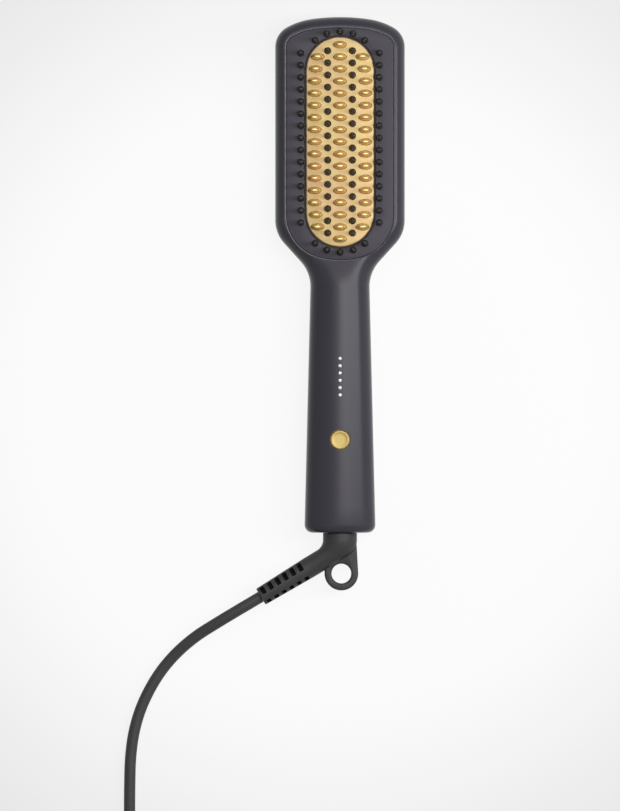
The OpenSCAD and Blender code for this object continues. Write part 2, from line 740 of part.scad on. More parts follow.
module mica_sheet() {
    color([0.72, 0.66, 0.52]) at_plate(carrier_z)
        translate([-heater_w / 2, -heater_len / 2, 0])
            cube([heater_w, heater_len, carrier_t - heater_t]);
}

module heater_bracket() {
    color(steel) difference() {
        at_plate(bracket_z) translate([-bracket_screw_at.x - 3, -bracket_len / 2, 0])
            cube([2 * bracket_screw_at.x + 6, bracket_len, bracket_t]);
        each_bracket_screw() translate([0, 0, bracket_z - 1]) cylinder(r = 1.1, h = bracket_t + 2);
        for (s = [-1, 1]) at_plate(bracket_z - 1) translate([s * 7.5, 0, 0])
            cylinder(r = 2, h = bracket_t + 2);
    }
}

// A screw that points along Z from its seat, with a cross in its head
module screw(r, length, head_r, head_h) {
    difference() {
        union() {
            translate([0, 0, -length]) cylinder(r = r, h = length + 0.1);
            cylinder(r1 = head_r, r2 = head_r * 0.8, h = head_h);
        }
        for (a = [0, 90]) rotate([0, 0, a]) translate([-head_r * 0.55, -0.2, head_h - 0.6])
            cube([head_r * 1.1, 0.4, 1]);
    }
}

module bracket_screws() {
    color(steel) each_bracket_screw() translate([0, 0, bracket_z]) mirror([0, 0, 1])
        screw(small_screw_r, bracket_t + carrier_t, small_head_r, small_head_h);
}

module head_screws() {
    color(steel) each_ear() translate([0, 0, ledge_z - screw_head_h - touch])
        screw(screw_r, head_screw_len, screw_head_r, screw_head_h - touch);
}

module handle_screw() {
    color(steel) translate([0, end_y + handle_screw_at, handle_screw_seat]) mirror([0, 0, 1])
        screw(screw_r, handle_z - handle_screw_seat - 5, screw_head_r, screw_head_h);
}

module thermal_fuse() {
    color(steel) at_plate(bracket_z - 2 - touch) translate([0, -6, 0]) rotate([-90, 0, 0]) {
        cylinder(r = 2, h = 12);
        translate([0, 0, -7]) cylinder(r = 0.5, h = 26);
    }
}

module thermistor() {
    color([0.2, 0.2, 0.22]) at_plate(bracket_z - 1.4 - touch) translate([9, 12, 0]) {
        sphere(r = 1.4);
        for (s = [-1, 1]) translate([s * 0.5, 0, 0]) rotate([90, 0, 0]) cylinder(r = 0.3, h = 12);
    }
}

module heat_shield() {
    color([0.80, 0.78, 0.72]) at_plate(shield_z) stadium(shield_r, shield_len, shield_t);
}

module heater_leads() {
    board_end = board_y + board_len;
    heater_end = plate_y - heater_len / 2;
    color(copper_red) for (s = [-1, 1]) lead([
        [s * lead_x, board_end - lead_x, board_z - touch],
        [s * lead_x, board_end - lead_x, board_z - lead_bend],
        [s * lead_x, board_end - lead_r, board_z - 1.6 * lead_bend],
        [s * lead_x, board_end + lead_run, seam_z],
        [s * lead_close, heater_end - lead_rise, seam_z],
        [s * lead_close, heater_end, seam_z + 1.5 * lead_r],
        [s * lead_close, heater_end + lead_bend, carrier_z - 0.8 * lead_bend],
        [s * lead_close, heater_end + lead_bend, carrier_z - touch]
    ]);
}

module mains_leads() {
    color([0.15, 0.3, 0.6]) for (i = [0, 1]) let (s = 2 * i - 1) lead([
        [s * 4, end_y + ring_at[i] + ring_w / 2, block_top + touch],
        [s * 4, end_y + ring_at[i] + ring_w / 2 + 0.4, block_top + 1.5],
        [s * 5.4, end_y + handle_screw_at - 4, 8.6], [s * 5.4, end_y + handle_screw_at + 3, 9.2],
        [s * 3.2, board_y + 2, 9.6], [s * 3.2, board_y + 9, 10.4],
        [s * 3.2, board_y + 11, 13], [s * 3.2, board_y + 11, board_z - touch]
    ]);
}

module control_board() {
    color([0.12, 0.35, 0.2]) difference() {
        translate([-board_w / 2, board_y, board_z]) cube([board_w, board_len, board_t]);
        each_post() translate([0, 0, board_z - 1]) cylinder(r = 1.1, h = board_t + 2);
    }
}

module board_screws() {
    color(steel) each_post() translate([0, 0, board_top])
        screw(small_screw_r, board_screw_len, small_head_r, small_head_h);
}

module film_capacitor() {
    color([0.85, 0.7, 0.2]) translate([-8, board_y + 0.25 * board_len, board_z - 11])
        cube([13, 7, 11]);
}

module power_triac() {
    color([0.12, 0.12, 0.12]) translate([-5, board_y + 0.57 * board_len, board_z - 4.5])
        cube([10, 15, 4.5]);
}

module controller_chip() {
    color([0.1, 0.1, 0.1]) translate([-2.5, end_y + button_at + button_w / 2 + chip_gap, board_top])
        cube([5, 8, 1.6]);
}

module status_leds() {
    color([0.95, 0.95, 0.9]) each_light() translate([-0.8, -1, board_top]) cube([1.6, 2, led_h]);
}

module light_guide() {
    bar_len = (lights - 1) * light_pitch + 3.4;
    color([0.95, 0.95, 0.97]) {
        translate([-2, end_y + lights_at - bar_len / 2, guide_z])
            cube([4, bar_len, guide_top - guide_z]);
        each_light() translate([0, 0, guide_top - sink])
            cylinder(r = light_w / 2, h = handle_z - guide_top + sink);
    }
}

module tact_switch() {
    color([0.15, 0.15, 0.16]) difference() {
        translate([-3, end_y + button_at - 3, board_top]) cube([6, 6, switch_h]);
        translate([0, end_y + button_at, board_top + switch_h - 1.2]) cylinder(r = plunger_r + button_gap, h = 2);
    }
}

module switch_plunger() {
    color([0.6, 0.6, 0.6]) translate([0, end_y + button_at, board_top + switch_h - 0.4])
        cylinder(r = plunger_r, h = plunger_h + 0.4);
}

module power_button() {
    r = button_w / 2;
    top = handle_z + button_proud;
    color(gold) translate([0, end_y + button_at, 0]) rotate_extrude() polygon([
        [0, button_foot_z], [r + 1.1, button_foot_z], [r + 1.1, button_foot_z + button_flange_h],
        [r, button_foot_z + button_flange_h], [r, top - 0.5], [r - 0.5, top],
        [r - 1.1, top], [r - 1.5, top - button_dish], [0, top - button_dish]
    ]);
}

module swivel_bush() {
    color([0.85, 0.85, 0.83]) difference() {
        union() {
            along_y(bush_r, 0, bush_len);
            along_y(bush_r + 2.3, end_wall + touch, end_wall + 2);
        }
        along_y(barrel_r + barrel_gap, -1, bush_len + 1);
    }
}

module swivel_barrel() {
    color([0.2, 0.2, 0.22]) {
        along_y(socket_r - pilot_gap, -collar_gap - socket_depth + touch, -collar_gap);
        along_y(barrel_r, -collar_gap, barrel_flange_at);
        along_y(barrel_flange_r, barrel_flange_at, hub_at);
        along_y(hub_r, hub_at, hub_at + hub_len);
    }
}

module slip_rings() {
    color(brass) for (at = ring_at) difference() {
        along_y(hub_r + ring_t, at, at + ring_w);
        along_y(hub_r + pilot_gap, at - 1, at + ring_w + 1);
    }
}

module contact_block() {
    color([0.3, 0.3, 0.32]) translate([-block_w / 2, end_y + hub_at, 2.6])
        cube([block_w, hub_len, block_top - 2.6]);
}

// Two springy brass strips that rub on the slip rings from below
module contact_leaves() {
    tip = seam_z - hub_r - ring_t - 0.3;
    color(brass) for (i = [0, 1]) translate([0, end_y + ring_at[i], 0]) {
        translate([-2.6, 0, block_top]) cube([5.2, ring_w, 0.4]);
        translate([-0.3, 0, block_top + 0.4]) cube([0.6, ring_w, tip - block_top - 0.4]);
    }
}

// Rings of the elbow's bend: left point, right point and half depth
guard_lap = 0.06;
guard_start = [0, -guard_cross] + guard_foot * guard_dir;
function guard_ring(f) =
    let (c = mix(guard_start, guard_end, f), r = mix(guard_w, guard_end_w, f) / 2)
        [c + r * guard_up, c - r * guard_up, r];
elbow_rings = let (
    r = collar_w / 2,
    inner_low = guard_ring(0)[0],
    outer_low = guard_ring(0)[1],
    t_in = bend_inner_r * tan(guard_turn / 2),
    t_out = bend_outer_r * tan(guard_turn / 2),
    inner_y = inner_low.y - (inner_low.x + r) * guard_dir.y / guard_dir.x,
    outer_y = outer_low.y - (outer_low.x - r) * guard_dir.y / guard_dir.x,
    inner_c = [-r - bend_inner_r, inner_y + t_in],
    outer_c = [r - bend_outer_r, outer_y + t_out]
) concat(
    [[[-r, -collar_gap], [r, -collar_gap], r]],
    [for (a = [0, 15, 30, 45, guard_turn]) [
        inner_c + bend_inner_r * [cos(a), -sin(a)],
        outer_c + bend_outer_r * [cos(a), -sin(a)],
        mix(r, guard_w / 2, 0.5 * pow(a / guard_turn, 1.5))
    ]],
    let (a = inner_c + bend_inner_r * [cos(guard_turn), -sin(guard_turn)],
         b = outer_c + bend_outer_r * [cos(guard_turn), -sin(guard_turn)])
        [for (f = [0.33, 0.66]) [mix(a, inner_low, f), mix(b, outer_low, f),
            mix(mix(r, guard_w / 2, 0.5), guard_w / 2, f)]],
    [for (f = [0, 0.1]) let (g = guard_ring(f))
        [g[0] - guard_lap * guard_up, g[1] + guard_lap * guard_up, g[2] - guard_lap]]
);

// A skin through oval rings in the seam's plane
module elbow_skin() {
    n = guard_sides;
    last = len(elbow_rings) - 1;
    points = [for (ring = elbow_rings, i = [0:n - 1])
        let (a = 360 * i / n, c = (ring[0] + ring[1]) / 2, v = (ring[1] - ring[0]) / 2)
            [c.x + v.x * cos(a), c.y + v.y * cos(a), ring[2] * sin(a)]];
    tris = [for (k = [0:last - 1], i = [0:n - 1])
        let (a = k * n + i, b = k * n + (i + 1) % n)
            each [[a, b + n, b], [a, a + n, b + n]]];
    polyhedron(points = points, faces = concat(
        [[for (i = [0:n - 1]) i]], tris, [[for (i = [n - 1:-1:0]) last * n + i]]
    ));
}

// Part rings cut from the guard's front and back, with a rail left along each side
module flex_slot() {
    for (span = [slot_up, [180, 180] - slot_up, [180, 180] + slot_down, [360, 360] - slot_down])
        rotate([0, 0, min(span)]) rotate_extrude(angle = max(span) - min(span))
            translate([slot_core_r, -slot_w / 2]) square([guard_w, slot_w]);
}

module guard() {
    straight = guard_len - guard_foot;
    at_end() translate(concat(guard_start, [0])) rotate([0, 0, 90 - guard_turn])
        rotate([0, -90, 0]) difference() {
            cylinder(r1 = guard_w / 2, r2 = guard_end_w / 2, h = straight);
            for (i = [0:slots - 1]) translate([0, 0, straight - 2.6 - i * slot_pitch]) flex_slot();
        }
}

module swivel_elbow() {
    loop_r = loop_hole_r + loop_rim_w;
    color(guard_grey) difference() {
        union() {
            at_end() elbow_skin();
            at_end() translate([loop_at.x, loop_at.y, -loop_t / 2]) cylinder(r = loop_r, h = loop_t);
            at_end() translate([0, 0, -loop_t / 2]) linear_extrude(loop_t) polygon([
                [collar_w / 2 - 0.4, -collar_gap - 1.5], [loop_at.x + loop_r - 0.1, loop_at.y],
                [loop_at.x - loop_r + 0.1, loop_at.y], [loop_at.x - loop_r + 0.1, loop_at.y + 6],
                [0, -6]
            ]);
            guard();
        }
        at_end() translate([loop_at.x, loop_at.y, -loop_t]) cylinder(r = loop_hole_r, h = 2 * loop_t);
        along_y(socket_r, -collar_gap - socket_depth, 1);
    }
}

// A round tube along points, each ring square to the run
module tube(points, r, sides, first_dir, last_dir, across = [0, 0, 1]) {
    n = len(points);
    function dir(i) = i == 0 ? first_dir : i == n - 1 ? last_dir : unit(points[i + 1] - points[i - 1]);
    rings = [for (i = [0:n - 1])
        let (t = dir(i), u = unit(cross(t, across)), v = cross(u, t))
            for (k = [0:sides - 1]) let (a = 90 + 360 * k / sides)
                points[i] + r * (cos(a) * u + sin(a) * v)];
    tris = [for (i = [0:n - 2], k = [0:sides - 1])
        let (a = i * sides + k, b = i * sides + (k + 1) % sides)
            each [[a, a + sides, b + sides], [a, b + sides, b]]];
    polyhedron(points = rings, faces = concat(
        [[for (k = [0:sides - 1]) k]], tris, [[for (k = [sides - 1:-1:0]) (n - 1) * sides + k]]
    ));
}

// A thin wire that ends upright, in a plane along the handle
module lead(points) { tube(points, lead_r, 8, [0, 0, sign(points[1].z - points[0].z)], [0, 0, 1], [1, 0, 0]); }

// A turn count's point on the coil: in on the lower layer, up, and out on the upper one
function coil_point(t) =
    let (
        up = clamp01((t - coil_in_turns) / 0.5),
        out = t - coil_in_turns - 0.5,
        r = t < coil_in_turns ? coil_in_r + coil_step * (coil_in_turns - t)
            : out > 0 ? coil_in_r + coil_step * out : coil_in_r - coil_dip * sin(180 * up),
        a = 180 + 360 * t
    ) [coil_at.x + r * cos(a), end_y + coil_at.y + r * sin(a),
        cord_r + coil_step * (1 - cos(180 * up)) / 2];
coil_steps = round(coil_turns * coil_rings);
coil_start = coil_point(0) + [0, coil_lead, 0];
coil_last = coil_point(coil_turns);
coil_path = concat(
    [coil_start],
    [for (i = [0:coil_steps]) coil_point(coil_turns * i / coil_steps)],
    [coil_last + [coil_lead, 0, 0]]
);
coil_end = coil_last + [coil_lead, 0, 0];
free_path = concat([cord_start + [0, end_y, 0]], [for (p = cord_run) p + [0, end_y, 0]], [coil_start]);
tail_path = concat([coil_end], [for (p = tail_run) coil_end + p], [coil_end + tail_end]);
plug_at = coil_end + tail_end;

function run_length(p) = [for (i = [1:len(p) - 1]) norm(p[i] - p[i - 1])] * [for (i = [1:len(p) - 1]) 1];
coil_gap = min([for (i = [0:len(coil_path) - 1], j = [i + 12:len(coil_path) - 1])
    norm(coil_path[i] - coil_path[j])]) - cord_d;
echo(least_gap_in_coil_mm = coil_gap);
echo(cord_length_mm = run_length(free_path) + run_length(coil_path) + run_length(tail_path));

module cord_free() { color(guard_grey) tube(free_path, cord_r, cord_sides, concat(guard_dir, [0]), [0, -1, 0]); }
module cord_coil() { color(guard_grey) tube(coil_path, cord_r, coil_sides, [0, -1, 0], [1, 0, 0]); }
module cord_tail() { color(guard_grey) tube(tail_path, cord_r, cord_sides, [1, 0, 0], [1, 0, 0]); }

// Flat plug that widens towards its face
module plug_body() {
    color([0.14, 0.14, 0.15]) translate(plug_at) hull() {
        rotate([0, 90, 0]) cylinder(r = cord_r + 1.6, h = 2, $fn = 32);
        translate([plug_len - 10, 0, 0]) rotate([0, 90, 0]) linear_extrude(10)
            for (s = [-1, 1]) translate([0, s * (plug_face_w - plug_thick) / 2])
                circle(r = plug_thick / 2, $fn = 32);
    }
}

module plug_pins() {
    color(steel) for (s = [-1, 1]) translate(plug_at + [plug_len, s * plug_pin_pitch / 2, 0])
        rotate([0, 90, 0]) {
            cylinder(r = plug_pin_d / 2, h = plug_pin_len - 1);
            translate([0, 0, plug_pin_len - 1])
                cylinder(r1 = plug_pin_d / 2, r2 = plug_pin_d / 2 - 0.8, h = 1);
        }
}

rear_shell();
front_shell();
bristle_panel();
plate_seal();
heater_plate();
pin_carrier();
heater_strip();
mica_sheet();
heater_bracket();
bracket_screws();
thermal_fuse();
thermistor();
heat_shield();
heater_leads();
control_board();
film_capacitor();
power_triac();
controller_chip();
status_leds();
light_guide();
tact_switch();
board_screws();
head_screws();
handle_screw();
swivel_bush();
contact_block();
contact_leaves();
mains_leads();
swivel_elbow();
swivel_barrel();
slip_rings();
power_button();
switch_plunger();
cord_free();
cord_coil();
cord_tail();
plug_body();
plug_pins();
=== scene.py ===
import math

import bpy
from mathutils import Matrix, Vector


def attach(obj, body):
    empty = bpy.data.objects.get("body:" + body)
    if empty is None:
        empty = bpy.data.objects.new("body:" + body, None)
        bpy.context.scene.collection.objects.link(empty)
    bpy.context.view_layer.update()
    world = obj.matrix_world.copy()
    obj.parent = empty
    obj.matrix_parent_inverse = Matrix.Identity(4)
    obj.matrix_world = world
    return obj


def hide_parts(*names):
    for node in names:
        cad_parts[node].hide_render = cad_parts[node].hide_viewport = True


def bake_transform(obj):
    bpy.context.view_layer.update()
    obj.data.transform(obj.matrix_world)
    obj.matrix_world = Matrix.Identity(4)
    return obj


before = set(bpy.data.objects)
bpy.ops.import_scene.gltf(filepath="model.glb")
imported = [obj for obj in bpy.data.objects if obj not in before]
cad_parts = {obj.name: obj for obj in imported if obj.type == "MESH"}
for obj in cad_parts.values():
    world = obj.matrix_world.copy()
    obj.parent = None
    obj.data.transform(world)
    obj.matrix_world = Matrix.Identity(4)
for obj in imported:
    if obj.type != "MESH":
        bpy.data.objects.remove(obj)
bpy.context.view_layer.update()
mm = 0.001
seamZ = 14              # mm, height of the line where the two shells meet
samePlace = 1e-6        # metres, points nearer than this are one
print("frame loaded")


view = {
    "pixelSize": 0.50045,   # mm of the object that one picture pixel covers
    "pictureHigh": 811,     # pixels
    "middle": (-15.0, -65.4),
    "height": 5000,         # camera above the seam
    "sensor": 36,
    "reach": 20,            # metres
}


def addCamera():
    lens = bpy.data.cameras.new("camera")
    lens.sensor_width = view["sensor"]
    lens.lens = view["sensor"] * view["height"] / (view["pictureHigh"] * view["pixelSize"])
    lens.clip_end = view["reach"]
    camera = bpy.data.objects.new("camera", lens)
    bpy.context.scene.collection.objects.link(camera)
    x, y = view["middle"]
    camera.location = (x * mm, y * mm, (view["height"] + seamZ) * mm)
    bpy.context.scene.camera = camera


addCamera()
print("camera placed")


def selectNothing():
    if bpy.context.mode != "OBJECT":
        bpy.ops.object.mode_set(mode="OBJECT")
    bpy.ops.object.select_all(action="DESELECT")


def makeActive(piece):
    selectNothing()
    piece.select_set(True)
    bpy.context.view_layer.objects.active = piece


def edit(piece, action="SELECT"):
    makeActive(piece)
    bpy.ops.object.mode_set(mode="EDIT")
    bpy.ops.mesh.select_all(action=action)


def backToObject():
    bpy.ops.object.mode_set(mode="OBJECT")


def mergeAndTurn():  # merges doubles, turns the faces outwards and leaves edit mode
    bpy.ops.mesh.select_all(action="SELECT")
    bpy.ops.mesh.remove_doubles(threshold=samePlace)
    bpy.ops.mesh.normals_make_consistent(inside=False)
    backToObject()


def newest(name):
    piece = bpy.context.object
    piece.name = name
    return piece


def smooth(piece, degrees=32):
    makeActive(piece)
    bpy.ops.object.shade_smooth_by_angle(angle=math.radians(degrees))
    return piece


def settle(piece, place=(0, 0, 0), turn=(0, 0, 0)):  # moves in mm, turns, and applies both
    piece.location = [v * mm for v in place]
    piece.rotation_euler = turn
    makeActive(piece)
    bpy.ops.object.transform_apply(location=True, rotation=True, scale=True)
    return piece


def gridOf(rows, name="cutter", caps=(True, True)):  # a grid whose points are laid on given rows
    selectNothing()
    across = len(rows[0])
    bpy.ops.mesh.primitive_grid_add(x_subdivisions=across - 1, y_subdivisions=len(rows) - 1, size=1)
    piece = newest(name)
    points = [p for row in rows for p in row]
    for vertex, point in zip(piece.data.vertices, points):
        vertex.co = Vector(point) * mm
    for wanted, first in zip(caps, (0, len(points) - across)):
        if wanted:
            edit(piece, "DESELECT")
            backToObject()
            for vertex in piece.data.vertices[first:first + across]:
                vertex.select = True
            bpy.ops.object.mode_set(mode="EDIT")
            bpy.ops.mesh.edge_face_add()
            backToObject()
    edit(piece)
    mergeAndTurn()
    return piece


def turned(profile, sides, name="cutter"):  # a profile of radius and height, spun round the Z axis
    selectNothing()
    bpy.ops.mesh.primitive_grid_add(x_subdivisions=len(profile) - 1, y_subdivisions=1, size=1)
    piece = newest(name)
    for i, vertex in enumerate(piece.data.vertices):
        radius, height = profile[i % len(profile)]
        vertex.co = (radius * mm, 0, height * mm)
    edit(piece)
    bpy.ops.mesh.remove_doubles(threshold=samePlace / 10)
    bpy.ops.mesh.delete(type="ONLY_FACE")
    bpy.ops.mesh.select_all(action="SELECT")
    bpy.ops.mesh.spin(steps=sides, angle=2 * math.pi, center=(0, 0, 0), axis=(0, 0, 1))
    mergeAndTurn()
    return piece


def slab(outline, low, high, name="cutter"):  # a flat face on an outline, extruded upwards
    selectNothing()
    bpy.ops.mesh.primitive_circle_add(
        vertices=len(outline), radius=0.01, fill_type="NGON", location=(0, 0, 0))
    piece = newest(name)
    for vertex, (x, y) in zip(piece.data.vertices, outline):
        vertex.co = (x * mm, y * mm, low * mm)
    edit(piece)
    bpy.ops.mesh.extrude_region_move(TRANSFORM_OT_translate={"value": (0, 0, (high - low) * mm)})
    bpy.ops.mesh.select_all(action="SELECT")
    bpy.ops.mesh.normals_make_consistent(inside=False)
    backToObject()
    return piece


def boxed(left, right, near, far):  # the outline of a rectangle
    return [(left, near), (right, near), (right, far), (left, far)]


def drum(x, y, radius, low, high, sides=48):
    selectNothing()
    bpy.ops.mesh.primitive_cylinder_add(
        vertices=sides, radius=radius * mm, depth=(high - low) * mm,
        location=(x * mm, y * mm, (low + high) / 2 * mm))
    bpy.ops.object.transform_apply(location=True, rotation=True, scale=True)
    return bpy.context.object


def joined(pieces, name="cutter"):
    makeActive(pieces[0])
    for piece in pieces:
        piece.select_set(True)
    bpy.ops.object.join()
    return newest(name)


def drums(places, *sizes):
    return joined([drum(x, y, *sizes) for x, y in places])


def copiesOf(piece, places, z, name="cutter"):  # the piece set at each place, joined into one
    copies = []
    for x, y in places:
        makeActive(piece)
        bpy.ops.object.duplicate()
        copies.append(settle(bpy.context.object, (x, y, z)))
    bpy.data.objects.remove(piece)
    return joined(copies, name)


def useBoolean(piece, tool, kind="DIFFERENCE"):
    cut = piece.modifiers.new("cut", "BOOLEAN")
    cut.operation = kind
    cut.solver = "EXACT"
    cut.object = tool
    makeActive(piece)
    bpy.ops.object.modifier_apply(modifier="cut")
    bpy.data.objects.remove(tool)


def carve(piece, *tools):
    for tool in tools:
        useBoolean(piece, tool)


def roundEdges(piece, size, steps, chosen):  # bevels the edges that chosen(angle, ends) picks
    makeActive(piece)
    bpy.ops.object.mode_set(mode="EDIT")
    bpy.ops.mesh.select_mode(type="EDGE")
    bpy.ops.mesh.select_all(action="DESELECT")
    backToObject()
    mesh = piece.data
    normals = {}
    for face in mesh.polygons:
        for key in face.edge_keys:
            normals.setdefault(key, []).append(face.normal)
    for edge in mesh.edges:
        sides = normals.get(tuple(sorted(edge.vertices)), [])
        if len(sides) == 2:
            ends = [mesh.vertices[i].co / mm for i in edge.vertices]
            edge.select = chosen(math.degrees(sides[0].angle(sides[1], 0)), ends)
    bpy.ops.object.mode_set(mode="EDIT")
    bpy.ops.mesh.bevel(offset=size * mm, segments=steps, clamp_overlap=True)
    bpy.ops.mesh.select_mode(type="VERT")
    mergeAndTurn()


def sharpAt(z):  # for roundEdges: the sharp edges at one height
    return lambda angle, ends: angle > 50 and all(abs(end.z - z) < 0.01 for end in ends)


def giveFinish(piece, finishName):
    piece.data.materials.clear()
    piece.data.materials.append(finishes[finishName])


def dress(piece, body, slot, finishName, *nodes):
    if finishName:
        giveFinish(piece, finishName)
    if body:
        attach(piece, body)
    if nodes:
        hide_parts(*nodes)


def addNode(tree, kind, values=None, **settings):  # a shader node with its settings and values
    node = tree.nodes.new("ShaderNode" + kind)
    for key, value in settings.items():
        setattr(node, key, value)
    for key, value in (values or {}).items():
        node.inputs[key].default_value = value
    return node


def wire(tree, *runs):  # each run is a node, its output, another node and its input
    for source, output, target, socket in runs:
        tree.links.new(source.outputs[output], target.inputs[socket])


def softSpan(tree, low, high):  # goes softly from 0 to 1 between two values
    return addNode(tree, "MapRange", {"From Min": low, "From Max": high},
                   interpolation_type="SMOOTHSTEP")


def newGroup(name, inputs, outputs):  # a value of four numbers makes a colour input
    group = bpy.data.node_groups.new(name, "ShaderNodeTree")
    for title, value in inputs.items():
        kind = "NodeSocketColor" if isinstance(value, tuple) else "NodeSocketFloat"
        socket = group.interface.new_socket(name=title, in_out="INPUT", socket_type=kind)
        socket.default_value = value
    for title, kind in outputs.items():
        group.interface.new_socket(name=title, in_out="OUTPUT", socket_type=kind)
    return group, group.nodes.new("NodeGroupInput"), group.nodes.new("NodeGroupOutput")


def makeGrainGroup():  # fine moulded grain, as a height for a bump
    tree, given, result = newGroup(
        "mouldedGrain", {"Scale": 2500.0, "Coarse": 0.3}, {"Height": "NodeSocketFloat"})
    place = addNode(tree, "TexCoord")
    fine = addNode(tree, "TexNoise", {"Detail": 3.0, "Roughness": 0.6})
    large = addNode(tree, "TexNoise", {"Detail": 1.0})
    wider = addNode(tree, "Math", {1: 0.22}, operation="MULTIPLY")
    both = addNode(tree, "Mix")
    wire(tree, (place, "Object", fine, "Vector"), (place, "Object", large, "Vector"),
         (given, "Scale", fine, "Scale"), (given, "Scale", wider, 0), (wider, 0, large, "Scale"),
         (given, "Coarse", both, "Factor"), (fine, "Fac", both, "A"), (large, "Fac", both, "B"),
         (both, "Result", result, "Height"))
    return tree


def makeDriftGroup():  # slow change of tone and gloss over a surface, as from handling
    tree, given, result = newGroup(
        "toneDrift",
        {"Color": (0.5, 0.5, 0.5, 1), "Other Color": (0.4, 0.4, 0.4, 1), "Scale": 30.0,
         "Roughness": 0.4, "Roughness Change": 0.08},
        {"Color": "NodeSocketColor", "Roughness": "NodeSocketFloat"})
    place = addNode(tree, "TexCoord")
    cloud = addNode(tree, "TexNoise", {"Detail": 4.0})
    spread = softSpan(tree, 0.22, 0.78)
    tone = addNode(tree, "Mix", data_type="RGBA")
    change = addNode(tree, "Math", operation="MULTIPLY_ADD")
    wire(tree, (place, "Object", cloud, "Vector"), (given, "Scale", cloud, "Scale"),
         (cloud, "Fac", spread, "Value"), (spread, "Result", tone, "Factor"),
         (given, "Color", tone, "A"), (given, "Other Color", tone, "B"),
         (spread, "Result", change, 0), (given, "Roughness Change", change, 1),
         (given, "Roughness", change, 2), (tone, "Result", result, "Color"),
         (change, 0, result, "Roughness"))
    return tree


grainGroup = makeGrainGroup()
driftGroup = makeDriftGroup()


def finish(name, color, other, rough, change=0.06, metal=0.0, grain=2500.0, depth=0.02,
           drift=30.0, specular=0.5, coarse=0.3):
    material = bpy.data.materials.new(name)
    material.use_nodes = True
    tree = material.node_tree
    shader = tree.nodes["Principled BSDF"]
    shader.inputs["Metallic"].default_value = metal
    shader.inputs["Specular IOR Level"].default_value = specular
    tone = addNode(tree, "Group", node_tree=driftGroup, name="tone", values={
        "Color": (*color, 1), "Other Color": (*other, 1), "Scale": drift, "Roughness": rough,
        "Roughness Change": change})
    surface = addNode(tree, "Group", {"Scale": grain, "Coarse": coarse}, node_tree=grainGroup)
    bump = addNode(tree, "Bump", {"Strength": 0.6, "Distance": depth * mm})
    wire(tree, (tone, "Color", shader, "Base Color"), (tone, "Roughness", shader, "Roughness"),
         (surface, "Height", bump, "Height"), (bump, "Normal", shader, "Normal"))
    return material


# painted shade: a darker tone low on the piece, fading out upwards, standing in for the shade down
# between the comb's teeth
def paintShadeLow(material, low, high, shadeTone):  # a darker tone below, fading out upwards; heights in mm
    tree = material.node_tree
    place = addNode(tree, "TexCoord")
    split = addNode(tree, "SeparateXYZ")
    span = softSpan(tree, low * mm, high * mm)
    both = addNode(tree, "Mix", {"A": (*shadeTone, 1)}, data_type="RGBA")
    wire(tree, (place, "Object", split, "Vector"), (split, "Z", span, "Value"),
         (span, "Result", both, "Factor"), (tree.nodes["tone"], "Color", both, "B"),
         (both, "Result", tree.nodes["Principled BSDF"], "Base Color"))


